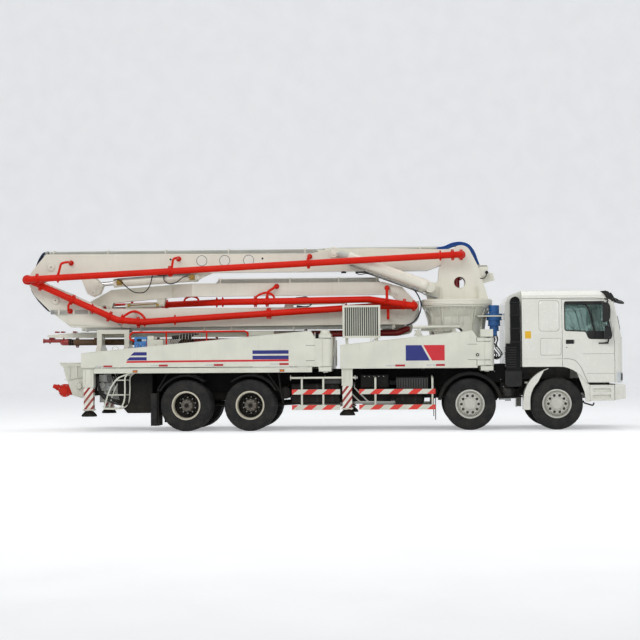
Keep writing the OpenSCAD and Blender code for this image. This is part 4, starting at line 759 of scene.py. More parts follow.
# Stowed reducer at the tip: thin red pipe in the darker red that paints the shade on boom 5, rubber sleeve, clamps
# and hangers
s = Shape()
s.tube([(-5.60, 0.36, 1.945), (-6.13, 0.36, 1.945)], 0.040, 20)
s.tube([(-6.13, 0.36, 1.945), (-6.15, 0.36, 1.945)], 0.054, 20)
s.tube([(-5.52, 0.36, 1.945), (-5.64, 0.36, 1.945)], 0.046, 20, 1)
for x in (-5.68, -5.99):
    s.tube([(x, 0.36, 1.945), (x - 0.03, 0.36, 1.945)], 0.052, 20)
    s.tube([(x - 0.015, 0.36, 1.90), (x - 0.015, 0.36, 1.88)], 0.012, 8)
    s.box((x - 0.03, 0.345, 1.98), (x, 0.375, 2.022))
s.obj("tip_reducer", [RED_IN_SHADE, BLACK], "boom_5", "red_paint")


# Boom sections: edge plates, ducts of hydraulic lines with their clamps, pin bosses, signs
def boss(s, x, z, y, r, q=-1, m=0, dark=1, bolts=0):
    """Round boss on a side face at y, pointing outward, with a centre hole; a flat disc in the material numbered dark
    covers the hole and, where that is black, paints the shade inside it
    """
    s.lathe([(TIP, q * 0.016), (r * 0.16, q * 0.016), (r * 0.17, q * 0.022), (r * 0.60, q * 0.022),
             (r * 0.66, q * 0.013), (r * 0.94, q * 0.012), (r, q * 0.004), (r, 0)], (x, y, z), "y", 36, m)
    # Dark disc over the centre hole: painted shade where the material is black
    s.lathe([(TIP, q * 0.0225), (r * 0.15, q * 0.0225), (r * 0.15, q * 0.014)], (x, y, z), "y", 12, dark)
    s.bolts((x, y + q * 0.012, z), r * 0.78, bolts, (0, q, 0), 0.009, 0.010, m)


def lines(s, x0, x1, z0, y, n, gap, r, m=0):
    """Parallel steel tubes along a boom"""
    for k in range(n):
        s.tube([(x0 + 0.02 * k, y, z0 + k * gap), (x1 - 0.03 * k, y, z0 + k * gap)], r, 8, m)


def clamp_block(s, x, z0, z1, y):
    """Block that holds a duct's lines, bolted on both sides"""
    s.box((x - 0.015, -y, z0), (x + 0.015, y, z1))
    for sg in (-1, 1):
        s.bolt((x, sg * y, (z0 + z1) / 2), (0, sg, 0), 0.008, 0.008)


def edge_strip(s, x0, x1, z0, z1, y, h=0.012):
    """Edge of a web plate that stands proud of the boom's side, from (x0, z0) to (x1, z1)"""
    s.prism([(x0, z0), (x1, z1), (x1, z1 + h), (x0, z0 + h)], y - 0.004, y + 0.004)


s = Shape()
for sg in (-1, 1):
    y = 0.2 * sg
    edge_strip(s, -5.62, 2.35, 3.4, 3.4, y, 0.014)
    edge_strip(s, -5.9, 0.1, 3.776, 3.776, y)
    # Doubler plate at the root, welded round the lift cylinder eyes
    s.prism([(0.02, 3.70), (0.20, 3.88), (0.55, 3.86), (1.30, 3.78), (2.45, 3.775), (2.52, 3.72), (2.30, 3.46),
             (1.5, 3.44), (0.3, 3.44), (0.05, 3.52)], y - 0.005, y + 0.005)
    boss(s, -5.841, 3.547, 0.22 * sg, 0.085, sg)
    boss(s, K[1].x, K[1].z, 0.224 * sg, 0.075, sg)
    for x in (-3.218, -1.213):
        s.lathe([(TIP, 0.002 * sg), (0.022, 0.002 * sg), (0.022, 0)], (x, y, 3.69), "y", 16, 1)
for x in (-5.81, -4.609, -3.343, -1.961, -0.295, 1.057, 2.205):
    clamp_block(s, x, 3.785, 3.915 if x < 0.14 else 3.925, 0.135)
for sg in (-1, 1):
    s.prism([(-5.9, 3.79), (-5.8, 3.874), (-5.795, 3.874), (-5.895, 3.79)], 0.118 * sg, 0.122 * sg)
s.obj("boom_1_fittings", [BOOM, BLACK], "boom_1", bevel=0.002)
s = Shape()
for sg in (-1, 1):
    lines(s, -5.93, 0.05, 3.803, 0.1285 * sg, 4, 0.021, 0.008)
    lines(s, 0.2, 2.74, 3.815, 0.1085 * sg, 4, 0.022, 0.008)
for k in range(7):
    s.tube([(-5.95, -0.09 + 0.03 * k, 3.884), (0.0, -0.09 + 0.03 * k, 3.884), (0.25, -0.075 + 0.025 * k, 3.909),
            (2.74, -0.075 + 0.025 * k, 3.909)], 0.009, 8)
# Tube ends with nuts where the hoses take over
for k in range(6):
    for y in (-0.1, 0.1):
        for x, z in ((-5.985, 3.80 + 0.015 * k), (2.775, 3.80 + 0.018 * k)):
            s.tube([(x - 0.05, y, z), (x + 0.05, y, z)], 0.0115, 6, 1)
s.obj("boom_1_lines", [GREY, ZINC], "boom_1", "steel")

# Blank round signs with a dark rim
s = Shape()
for x in (-2.536, -2.036, -1.514):
    for sg in (-1, 1):
        s.lathe([(0.1165, 0.2042 * sg), (0.1165, 0.2052 * sg), (0.107, 0.2052 * sg), (0.107, 0.2042 * sg)],
                (x, 0, 3.655), "y", 48)
s.obj("sign_rims", [PLASTIC], "boom_1", "black_plastic")
paint_faces("boom_1", CABW, lambda c: abs(c.y) > 0.2035 and -2.66 < c.x < -1.39 and 3.53 < c.z < 3.78)

s = Shape()
for sg in (-1, 1):
    y = 0.17 * sg
    edge_strip(s, -4.1, 1.6, 2.218, 2.243, y)
    edge_strip(s, -4.7, 1.6, 2.617, 2.617, y)
    boss(s, -5.758, 2.822, y, 0.08, sg)
    boss(s, K[2].x, K[2].z, 0.21 * sg, 0.07, sg)
    boss(s, 1.755, 2.42, 0.182 * sg, 0.05, sg)
    # Curved doubler ahead of the second knee
    s.prism([(0.9, 2.627), (1.25, 2.655), (1.6, 2.68), (1.72, 2.70), (1.55, 2.60), (1.2, 2.56), (0.9, 2.55)],
            y - 0.003, y + 0.005)
for x in (-5.1, -3.9, -2.5, -1.9, -0.55, 0.6, 1.6):
    clamp_block(s, x, 2.135, 2.24, 0.125)
s.obj("boom_2_fittings", [BOOM, BLACK], "boom_2", bevel=0.002)
s = Shape()
for sg in (-1, 1):
    lines(s, -5.18, 1.66, 2.160, 0.1185 * sg, 4, 0.021, 0.008)
# Lines along the rear end, bent down to the duct below
for k in range(4):
    z = 2.60 - 0.024 * k
    s.tube(fillet([(-5.80, -0.178, z), (-5.0, -0.178, z), (-4.75 + 0.05 * k, -0.178, z - 0.02),
                   (-4.42 + 0.04 * k, -0.178, 2.36 - 0.03 * k), (-4.30, -0.15, 2.19)], 0.12, 5), 0.009, 8)
    s.tube([(-5.86, -0.178, z), (-5.79, -0.178, z)], 0.014, 6, 1)
    s.tube([(1.66, -0.09 + 0.05 * k, 2.18), (1.82, -0.09 + 0.05 * k, 2.19)], 0.0125, 6, 1)
for x in (-5.68, -5.35, -5.02):
    s.box((x - 0.018, -0.192, 2.51), (x + 0.018, -0.165, 2.62), 2)
s.obj("boom_2_lines", [GREY, ZINC, BOOM], "boom_2", "steel")

s = Shape()
for sg in (-1, 1):
    y = 0.15 * sg
    edge_strip(s, -2.7, 1.5, 2.885, 2.885, y)
    edge_strip(s, -2.7, 1.4, 3.151, 3.151, y)
    boss(s, 1.676, 2.912, 0.202 * sg, 0.05, sg)
for x in (-2.15, -0.63, 0.43, 1.25):
    clamp_block(s, x, 3.16, 3.28, 0.055)
for sg in (-1, 1):
    lines(s, -2.25, 1.33, 3.178, 0.047 * sg, 4, 0.022, 0.008, 2)
    boss(s, K[3].x, K[3].z, ARM_Y + sg * 0.125, 0.06, sg)
    for x in (-3.5, -4.65):
        boss(s, x, 2.73 if x > -4 else 2.68, ARM_Y + sg * (0.086 if x > -4 else 0.106), 0.036, sg)
s.obj("boom_3_fittings", [BOOM, BLACK, GREY], "boom_3", bevel=0.002)
s = Shape()
for sg in (-1, 1):
    y = ARM_Y + sg * 0.105
    edge_strip(s, -4.5, 1.3, 2.217, 2.242, y, 0.010)
    edge_strip(s, -4.5, 1.3, 2.524, 2.524, y, 0.010)
for x in (-4.3, -3.0, -1.6, -0.2, 1.1):
    s.box((x - 0.015, 0.30, 2.534), (x + 0.015, 0.38, 2.575))
for y in (0.315, 0.345):
    lines(s, -4.4, 1.2, 2.545, y, 1, 0.0, 0.009, 2)
s.obj("boom_4_fittings", [BOOM, BLACK, GREY], "boom_4", bevel=0.002)
s = Shape()
for sg in (-1, 1):
    boss(s, K[4].x, K[4].z, ARM_Y + sg * 0.112, 0.07, sg)
# Tip bracket with its clamp for the end hose, in the pipe's darker red that paints the shade on boom 5
s.box((-5.98, 0.30, 1.975), (-5.90, 0.44, 2.02), 2)
s.tube([(-6.01, 0.26, 2.05), (-6.01, 0.43, 2.05)], 0.028, 16)
for x in (-5.85, -5.72, -5.45):
    s.box((x - 0.02, 0.245, 2.12), (x + 0.05, 0.44, 2.155), 2)
s.obj("boom_5_fittings", [BOOM, BLACK, RED_IN_SHADE], "boom_5", bevel=0.003)


# Knee cylinders: glands, ports with yellow-zinc valve blocks, hoses
def axis_of(foot, mouth):
    """Ends of a cylinder's barrel and the direction its rod comes out"""
    a, b = Vector(foot), Vector(mouth)
    return a, b, (b - a).normalized()


s = Shape()
A, B, d = axis_of((-2.64, 0, 3.31), (-4.50, 0, 3.195))
s.band(B, d, -0.09, 0, (0.092, 0.099, 0.099, 0.080), 32)
s.band(A, d, 0.02, 0.102, (0.092, 0.098, 0.098, 0.092), 32)
yy = -0.10
for t in (0.12, 1.72):
    c = A + d * t
    s.box((c.x - 0.055, yy - 0.035, c.z - 0.055), (c.x + 0.055, yy + 0.03, c.z + 0.055), 1)
    s.box((c.x - 0.025, yy - 0.06, c.z - 0.03), (c.x + 0.035, yy - 0.034, c.z + 0.045), 1)
    s.tube([(c.x - 0.08, yy, c.z), (c.x + 0.08, yy, c.z)], 0.016, 8, 1)
s.tube([(-2.80, -0.085, 3.37), (-4.40, -0.085, 3.27)], 0.010, 8, 2)
s.tube([(-2.80, -0.060, 3.395), (-4.40, -0.060, 3.29)], 0.010, 8, 2)
for x, z in ((-4.82, 3.128), (-4.93, 2.99)):
    for sg in (-1, 1):
        boss(s, x, z, 0.145 * sg, 0.058, sg, 0, 3)
boss(s, -2.66, 3.31, -0.1, 0.06, -1, 0, 3)
s.obj("knee_1_cylinder_fittings", [BOOM, BRASS, ZINC, BLACK], "boom_1", "steel", bevel=0.002)
s = Shape()
long_loop = [(-4.48, -0.14, 3.25), (-4.36, -0.17, 3.262), (-4.22, -0.18, 3.13), (-4.05, -0.18, 3.0),
             (-3.90, -0.17, 2.972), (-3.78, -0.17, 3.0), (-3.68, -0.17, 3.13), (-3.63, -0.14, 3.34),
             (-3.62, -0.1, 3.41)]
short_loop = [(-3.38, -0.1, 3.41), (-3.375, -0.15, 3.33), (-3.36, -0.17, 3.23), (-3.24, -0.18, 3.16),
              (-3.09, -0.17, 3.20), (-2.96, -0.15, 3.30), (-2.84, -0.13, 3.335)]
link = [(-3.56, -0.09, 3.41), (-3.53, -0.12, 3.36), (-3.42, -0.14, 3.345), (-3.32, -0.12, 3.37), (-3.28, -0.1, 3.41)]
for pts in (long_loop, short_loop, link):
    s.tube(curve(pts, 6), 0.0115, 10)
s.obj("knee_1_cylinder_hoses", [HOSEBLACK], "boom_1", "rubber")
s = Shape()
s.box((-3.40, -0.03, 3.285), (-3.36, 0.03, 3.40))
for x0, x1 in ((0.49, 0.60), (0.80, 1.22)):
    s.tube([(x0, -0.14, 3.375), (x1, -0.14, 3.375)], 0.02, 10)
    s.box(((x0 + x1) / 2 - 0.03, -0.16, 3.37), ((x0 + x1) / 2 + 0.03, -0.10, 3.40))
s.tube(curve([(1.22, -0.14, 3.375), (1.16, -0.14, 3.33), (1.02, -0.14, 3.345), (0.9, -0.14, 3.325),
              (0.8, -0.14, 3.36)], 5), 0.009, 8)
s.obj("boom_1_clips", [PLASTIC], "boom_1", "black_plastic")

# Cylinder of the second knee: gland, tubes and the hose loop beside it
s = Shape()
A, B, d = axis_of((-0.65, 0, 2.745), (0.56, 0, 2.765))
s.band(B, d, -0.08, 0, (0.068, 0.076, 0.076, 0.055), 28)
s.tube([A + Vector((0.1, -0.075, 0.03)), B + Vector((-0.1, -0.075, 0.03))], 0.010, 8, 1)
for x in (-0.65, 1.15):
    for sg in (-1, 1):
        boss(s, x, 2.745 if x < 0 else 2.79, sg * (0.112 if x < 0 else 0.106), 0.045, sg)
s.obj("knee_2_cylinder_fittings", [BOOM, ZINC], "boom_2", "steel", bevel=0.002)
s = Shape()
s.tube([(0.555, 0, 2.7649), (1.14, 0, 2.7896)], 0.0385, 24)
s.obj("knee_2_rod", [CHROME], "boom_2", "steel")
s = Shape()
s.tube([(-4.75, 0, 3.1758), (-4.495, 0, 3.1955)], 0.0485, 24)
s.obj("knee_1_rod", [CHROME], "boom_1", "steel")
s = Shape()
for k in range(2):
    q = 0.02 * k
    s.tube(curve([(-0.50, -0.09 - q, 2.815 + q), (-0.38, -0.12, 2.845), (-0.26, -0.13, 2.83 + q),
                  (-0.16, -0.13 - q, 2.75), (-0.18, -0.13 - q, 2.67), (-0.28, -0.13, 2.64), (-0.48, -0.13, 2.64 + q)],
                 6), 0.012, 10)
s.obj("knee_2_cylinder_hoses", [HOSEBLACK], "boom_2", "rubber")

# Cylinder of the third knee
s = Shape()
A, B, d = axis_of((-3.50, ARM_Y, 2.73), (-4.30, ARM_Y, 2.695))
s.band(B, d, -0.08, 0, (0.062, 0.070, 0.070, 0.050), 28)
s.tube([B, (-4.64, ARM_Y, 2.6802)], 0.0325, 24, 2)
s.tube([A + Vector((-0.1, -0.07, 0.02)), B + Vector((0.1, -0.07, 0.02))], 0.010, 8, 1)
for x in (-3.58, -4.22):
    s.box((x - 0.03, 0.25, 2.69), (x + 0.03, 0.285, 2.75), 1)
s.obj("knee_3_cylinder_fittings", [BOOM, BRASS, CHROME], "boom_3", "steel", bevel=0.002)


# Hose bundles at the joints, left in place unattached to the bodies
def bundle(name, paths, r, kind, blend, ends):
    """Hoses with metal ends of the given length, left unattached; blend names the two bodies they run between"""
    s = Shape()
    for p in paths:
        s.tube(curve(p, 8), r, 10)
        for a, b in ((p[0], p[1]), (p[-1], p[-2])):
            a, b = Vector(a), Vector(b)
            s.tube([a, a + (b - a).normalized() * ends], r * 1.25, 10, 1)
    s.obj(name, [kind, ZINC], None, "rubber", blend=blend)


def layers(line, y0, step, count, deep, pitch):
    """Paths side by side and, under those, deep more layers towards the inside of the bend"""
    P = [Vector((x, 0, z)) for x, z in line]
    out = []
    for j in range(deep):
        for k in range(count):
            path = []
            for i, p in enumerate(P):
                t = (P[min(i + 1, len(P) - 1)] - P[max(i - 1, 0)]).normalized()
                depth = pitch * (j - (deep - 1) / 2)
                aside = Vector((0, y0 + step * (k + 0.5 * (j % 2)), 0))
                path.append(p + Vector((-t.z, 0, t.x)) * depth + aside)
            out.append(path)
    return out


arch = [(2.50, 3.845), (2.60, 3.862), (2.74, 3.89), (2.90, 3.955), (3.07, 3.972), (3.22, 3.925), (3.33, 3.79),
        (3.40, 3.60), (3.455, 3.45)]
bundle("turret_hoses", layers(arch, -0.125, 0.034, 8, 3, 0.027), 0.0165, HOSEBLUE,
       ("boom_1", "turret", (2.78, 0, 3.90), (3.36, 0, 3.70)), 0.07)
loop_1 = [(-5.93, 3.875), (-6.03, 3.845), (-6.115, 3.72), (-6.165, 3.60), (-6.235, 3.43), (-6.30, 3.27),
          (-6.285, 3.08), (-6.20, 2.92), (-6.08, 2.77), (-5.93, 2.62), (-5.83, 2.575)]
bundle("knee_1_hoses", layers(loop_1, -0.115, 0.031, 8, 2, 0.027), 0.015, HOSENAVY,
       ("boom_1", "boom_2", (-6.22, 0, 3.40), (-6.22, 0, 3.10)), 0.07)
loop_2 = [(2.00, 3.03), (2.08, 2.96), (2.16, 2.83), (2.205, 2.69), (2.20, 2.55), (2.15, 2.42), (2.03, 2.28),
          (1.84, 2.20)]
lanes = [[(x, -0.24 + 0.022 * k if i < 6 else -0.16 + 0.04 * k, z) for i, (x, z) in enumerate(loop_2)]
         for k in range(4)]
bundle("knee_2_hoses", lanes, 0.013, HOSENAVY, ("boom_3", "boom_2", (2.16, 0, 2.83), (2.15, 0, 2.42)), 0.06)

# Lift cylinders: end caps, rod wipers, tubes and glands
C0 = PIN["lift_foot"]
E0 = Vector((0.338, 0, 3.797))
d = E0 - C0
d.y = 0
L = d.length
d.normalize()
n = Vector((-d.z, 0, d.x))
if n.z > 0:
    n = -n
s = Shape()
for sg in (-1, 1):
    y = Vector((0, 0.375 * sg, 0))
    c = Vector((C0.x, 0, C0.z)) + y
    e = c + d * (L - 0.33)
    s.tube([e - d * 0.13, e - d * 0.128, e - d * 0.004, e + d * 0.001], [0.122, 0.131, 0.131, 0.118], 40)
    for k in range(8):
        a = 2 * pi * k / 8
        w = n * cos(a) + Vector((0, sin(a), 0))
        s.bolt(e + w * 0.112, d, 0.009, 0.010)
    s.tube([c + d * 0.10, c + d * 0.102, c + d * 0.20, c + d * 0.21], [0.122, 0.129, 0.129, 0.122], 40)
    for k in range(2):
        w = n * (0.142 + 0.004 * k) + y / 0.375 * (0.03 if k else -0.02)
        s.tube([c + d * 0.22 + w, e - d * 0.10 + w], 0.011, 10, 1)
    for t in (0.30, L / 2, L - 0.55):
        p = c + d * t + n * 0.135
        s.box((p.x - 0.025, p.y - 0.05, p.z - 0.022), (p.x + 0.025, p.y + 0.05, p.z + 0.02), 1)
    s.tube([c + Vector((0, sg * 0.055, 0)), c + Vector((0, sg * 0.075, 0))], 0.075, 28)
    s.bolts(c + Vector((0, sg * 0.075, 0)), 0.05, 4, (0, sg, 0), 0.008, 0.008, 0, pi / 4)
s.obj("lift_barrel_fittings", [BOOM, ZINC], "lift_barrels", "steel")
s = Shape()
for sg in (-1, 1):
    e = Vector((E0.x, 0.375 * sg, E0.z))
    y1 = 0.062 * sg
    s.lathe([(0.112, y1 - 0.006 * sg), (0.104, y1 + 0.004 * sg), (0.086, y1 + 0.004 * sg), (0.082, y1 - 0.010 * sg),
             (0.074, y1 - 0.010 * sg), (0.070, y1 + 0.012 * sg), (0.030, y1 + 0.014 * sg), (TIP, y1 + 0.014 * sg)], e,
            "y", 40, 0)
s.obj("lift_eye_caps", [BOOM], "lift_rods")
paint_faces("lift_rods", BOOM, lambda c: (Vector((c.x, 0, c.z)) - E0).length < 0.125)

# Turret: pin heads, the swivel pipe seen through the port, the hose bracket
s = Shape()
for sg in (-1, 1):
    boss(s, K[0].x, K[0].z, 0.252 * sg, 0.095, sg, 0, 1, 4)
    s.lathe(rect(0.120, 0.128, 0.2405 * sg, 0.252 * sg), (3.04, 0, 3.13), "y", 48)
    s.prism(rect(2.56, 3.62, 2.757, 2.772), 0.24 * sg, 0.27 * sg)
    for x in (2.62, 3.40):
        s.prism(rect(x, x + 0.014, 2.757, 3.05), 0.239 * sg, 0.30 * sg)
s.bolts((SLEW_X, 0, 2.757), 0.725, 48, (0, 0, 1), 0.013, 0.014)
for z in (2.660, 2.710):
    s.lathe([(0.765, z), (0.771, z + 0.004), (0.771, z + 0.030), (0.765, z + 0.034)], (SLEW_X, 0, 0), "z", 96)
for y in (-0.20, 0.185):
    s.prism([(3.44, 3.22), (3.62, 3.30), (3.66, 3.44), (3.62, 3.50), (3.46, 3.50)], y, y + 0.015)
s.box((3.44, -0.2, 3.47), (3.64, 0.2, 3.49))
s.obj("turret_fittings", [BOOM, BLACK], "turret", bevel=0.002)
s = Shape()
s.tube(fillet([(SLEW_X, 0, 2.76), (SLEW_X, 0, 3.45), (3.02, -0.15, 3.6)], 0.12, 6), 0.07, 24)
coupling(s, (SLEW_X, 0, 3.22), (0, 0, 1))
# The riser sits inside the turret; its darker red paints the shade there
s.obj("turret_riser", [RED_IN_SHADE], "turret", "red_paint")
s = Shape()
for k in range(6):
    y = -0.165 + 0.06 * k
    s.tube([(3.46, y, 3.50), (3.48, y, 3.40)], 0.018, 10, 1)
s.tube([(3.62, -0.202, 3.34), (3.62, -0.26, 3.34)], 0.035, 14)
s.tube(curve([(3.62, -0.24, 3.31), (3.60, -0.25, 3.25), (3.55, -0.25, 3.21), (3.49, -0.24, 3.215),
              (3.45, -0.22, 3.24)], 5), 0.009, 8)
for k in range(4):
    y = -0.30 - 0.035 * k
    s.tube(curve([(2.02 + 0.03 * k, y, 3.02), (2.16, y, 2.95), (2.30, y, 2.87), (2.44, y + 0.03, 2.83),
                  (2.56, y + 0.06, 2.80)], 5), 0.012, 8, 1)
s.obj("turret_hose_ends", [PLASTIC, ZINC], "turret", "black_plastic")

# Pedestal: weld ribs, bolt ring, opening rims
s = Shape()
s.lathe([(0.690, 2.575), (0.742, 2.600), (0.748, 2.606), (0.748, 2.630), (0.742, 2.634), (0.690, 2.634)],
        (SLEW_X, 0, 0), "z", 96)
s.bolts((SLEW_X, 0, 2.592), 0.715, 48, (0, 0, -1), 0.012, 0.030, 0, pi / 48)
s.gussets((SLEW_X, 0, 0), [(0.573, 2.20), (0.60, 2.21), (0.712, 2.55), (0.690, 2.55)], 16, 0.004, pi / 16)
s.obj("pedestal_fittings", [CREAM], "root", bevel=0.0015)

# Slewing motor: flange bolts, gear stages, brake and hose loops
s = Shape()
c = Vector((3.762, -0.33, 0))  # axis of the motor
s.lathe([(0.110, 2.60), (0.112, 2.61), (0.112, 2.625), (0.05, 2.632), (TIP, 2.632)], c, "z", 48)
for z, r in ((2.435, 0.178), (2.318, 0.162), (2.198, 0.132), (2.088, 0.102)):
    s.lathe([(r - 0.004, z - 0.012), (r + 0.004, z - 0.008), (r + 0.004, z + 0.008), (r - 0.004, z + 0.012)], c, "z",
            48)
s.bolts(c + Vector((0, 0, 2.434)), 0.160, 16, (0, 0, 1), 0.010, 0.014, 1)
s.bolts(c + Vector((0, 0, 2.198)), 0.115, 10, (0, 0, -1), 0.008, 0.012, 1)
s.box(c + Vector((-0.05, -0.11, 1.98)), c + Vector((0.05, -0.05, 2.07)))
s.obj("slew_motor_details", [BLUE, ZINC], "root", "blue_paint", bevel=0.002)
s = Shape()
for k, (x, z, w, m) in enumerate(((3.74, 1.98, 0.0, 0), (3.79, 1.97, 0.03, 1), (3.71, 1.99, -0.03, 0),
        (3.80, 2.00, 0.05, 0))):
    s.tube(curve([(x, -0.40, z), (x + 0.03, -0.43, z - 0.10), (x - 0.05 + w, -0.45, z - 0.22),
                  (x + 0.02 + w, -0.47, z - 0.33), (x + 0.09 + w * 0.5, -0.46, z - 0.42), (x + 0.02, -0.44, z - 0.49),
                  (x - 0.09, -0.42, z - 0.44), (x - 0.15, -0.38, z - 0.36)], 6), 0.014, 10, m)
s.tube(curve([(3.72, -0.36, 1.96), (3.70, -0.42, 1.88), (3.76, -0.45, 1.80), (3.80, -0.42, 1.74)], 6), 0.016, 10)
s.obj("slew_motor_hoses", [HOSEBLACK, GREY], "root", "rubber")

# Outriggers: stripes, reflectors, seams, knuckle covers, leg collars and feet
NAVY = paint("decal_blue", (28, 38, 120), rough=0.35)
CRIMSON = paint("decal_red", (206, 34, 46), rough=0.35)
REFLECT = paint("reflector_red", (178, 24, 40), rough=0.25, coat=0.6)
SILVER = paint("reflector_silver", (196, 198, 194), rough=0.3, coat=0.3)
AMBER = paint("amber_lens", (214, 110, 34), rough=0.2, coat=0.8)
LAMPRED = paint("red_lens", (176, 26, 24), rough=0.2, coat=0.8)
LEG_Y, FOOT_Z = 1.09, 0.32


def slab(s, pts, m=0, y=1.25, t=0.0015):
    """Thin sheet on a vertical side, drawn from its X and Z outline"""
    s.prism(pts, -y - t, -y + 0.001, m)


REAR = [([(-3.918, 1.602), (-3.838, 1.673), (-3.572, 1.673), (-3.572, 1.602)], 0),
        ([(-4.004, 1.499), (-3.926, 1.568), (-3.572, 1.568), (-3.572, 1.499)], 0),
        (rect(-1.337, -0.578, 1.618, 1.694), 0), (rect(-1.337, -0.578, 1.505, 1.582), 0),
        ([(-4.013, 1.449), (-0.578, 1.462), (-0.578, 1.503), (-3.985, 1.489)], 1)]
FRONT = [([(1.869, 1.456), (2.373, 1.456), (2.195, 1.778), (1.869, 1.778)], 0),
         ([(2.415, 1.456), (2.679, 1.456), (2.679, 1.778), (2.237, 1.778)], 1)]
MARKS = {"r": ((-4.669, -4.490, -4.302, 1.376), (-3.492, -3.314, -3.126, 1.388), (-2.334, -2.150, -1.955, 1.393),
               (-0.973, -0.772, -0.578, 1.404)), "f": ((1.456, 1.650, 1.853, 1.357), (2.297, 2.498, 2.679, 1.362))}
HX, LX = {"r": 0.183, "f": 3.556}, {"r": -4.827, "f": 0.640}
UNDER, TOPL, TOPH = {"r": 1.352, "f": 1.300}, {"r": 1.662, "f": 1.795}, {"r": 2.100, "f": 2.080}
for e in "rf":
    for tag in "rl":
        body = "outrigger_" + e + tag
        s = Shape()
        for pts, k in (REAR if e == "r" else FRONT):
            slab(s, pts, k)
        for a, b, c, z in MARKS[e]:
            slab(s, rect(a, b - 0.004, z - 0.012, z + 0.012), 3, t=0.002)
            slab(s, rect(b, c, z - 0.021, z + 0.021), 2, t=0.003)
        s.sided(tag)
        s.obj("decals_" + body, [NAVY, CRIMSON, REFLECT, SILVER], body)
        h, l, u = HX[e], LX[e], UNDER[e]
        s = Shape()
        # Top and bottom plates stand a little proud of the side plates
        back = l - 0.11 - 0.03
        tz = lambda x: TOPL[e] + (TOPH[e] - TOPL[e]) * (x - back) / (h - 0.3 - back)
        for y0, y1 in ((-1.256, -1.244), (-0.936, -0.924)):
            s.prism(rect(back, h - 0.2, u, u + 0.010), y0, y1)
            s.prism([(back, tz(back) - 0.012), (h - 0.3, tz(h - 0.3) - 0.012), (h - 0.3, tz(h - 0.3) - 0.002),
                     (back, tz(back) - 0.002)], y0, y1)
        # Pin cover, clevis plates and slots of the fold joint; the slots and gaps are thin black sheets that paint
        # the shade in them
        if e == "r":
            s.lathe([(TIP, 2.118), (0.05, 2.115), (0.085, 2.100), (0.10, 2.075), (0.10, 2.045)], (h, -LEG_Y, 0), "z",
                    32)
        s.lathe([(0.115, 2.021), (0.118, 2.024), (0.118, 2.036), (0.115, 2.045), (0.06, 2.046)], (h, -LEG_Y, 0), "z",
                32)
        for z in (1.345, 1.928):
            slab(s, rect(h - 0.45, h - 0.02, z - 0.002, z + 0.005), 0, 1.248, 0.006)
        # Slots as thin black sheets: painted shade
        for z in (1.47, 1.79):
            slab(s, rect(h - 0.40, h - 0.205, z - 0.004, z + 0.004), 1, 1.2495, 0.0012)
        if e == "r":
            slab(s, rect(h - 0.212, h - 0.200, 1.36, 2.06), 0, 1.246, 0.010)
            # Black patches that paint the shade in the gaps by the clevis
            for z0, z1 in ((1.352, 1.40), (1.93, 2.05)):
                slab(s, rect(h - 0.195, h - 0.13, z0, z1), 1, 1.2488, 0.001)
            slab(s, [(-0.40, 1.352), (-0.22, 1.352), (-0.22, 1.28), (-0.27, 1.27)], 0, 1.240, 0.008)
        else:
            # Fold lines of the pressed side plate, a blanked port and its ring
            for pts in ([(0.536, 1.64), (0.812, 1.312), (0.822, 1.318), (0.546, 1.648)],
                        [(0.83, 1.76), (1.23, 1.302), (1.24, 1.307), (0.84, 1.766)],
                        [(0.645, 1.83), (0.84, 1.755), (0.845, 1.763), (0.65, 1.838)]):
                slab(s, pts, 0, 1.249, 0.004)
            s.lathe([(0.045, -0.002), (0.045, -0.012), (0.036, -0.014), (0.034, -0.004)], (3.36, -1.25, 1.57), "y",
                    28)
            s.lathe([(0.034, -0.004), (TIP, -0.004)], (3.36, -1.25, 1.57), "y", 24, 1)
            s.lathe([(0.016, -0.004), (0.016, -0.010), (TIP, -0.012)], (3.36, -1.25, 1.57), "y", 16)
            # Thin black strips round the clevis that paint the shade in the gaps
            for z0, z1 in ((1.845, 1.928), (1.346, 1.465)):
                for pts in (rect(h - 0.215, h - 0.205, z0, z1), rect(h - 0.215, h + 0.08, z0, z0 + 0.008),
                            rect(h - 0.215, h + 0.08, z1 - 0.008, z1)):
                    slab(s, pts, 1, 1.2492, 0.0012)
        # Leg collar
        g = 0.118  # half width
        for z0, z1 in ((u - 0.020, u + 0.004), (0.452, 0.475)):
            a, b, w = -LEG_Y - g, -LEG_Y + g, 0.010
            for x0, x1, y0, y1 in ((l - g, l + g, a, a + w), (l - g, l + g, b - w, b), (l - g, l - g + w, a, b),
                    (l + g - w, l + g, a, b)):
                s.box((x0, y0, z0), (x1, y1, z1))
        for k in (-1, 1):
            s.tube([(l + k * 0.06, -1.212, u - 0.04), (l + k * 0.06, -1.212, 1.0)], 0.006, 8)
        # Hydraulic lines on the inner face and a lifting eye on top
        for k in range(3):
            s.tube([(l + 0.2, -0.918, u + 0.12 + 0.03 * k), (h - 0.25, -0.918, u + 0.20 + 0.03 * k)], 0.008, 8)
        top = tz(l + 0.5)
        eye = ((0.5, top - 0.01), (0.5, top + 0.05), (0.56, top + 0.08), (0.62, top + 0.05),
               (0.62, tz(l + 0.62) - 0.01))
        s.tube(curve([(l + x, -LEG_Y, z) for x, z in eye], 5), 0.010, 8)
        s.sided(tag)
        s.obj("fittings_" + body, [CREAM, BLACK], body, bevel=0.0012)
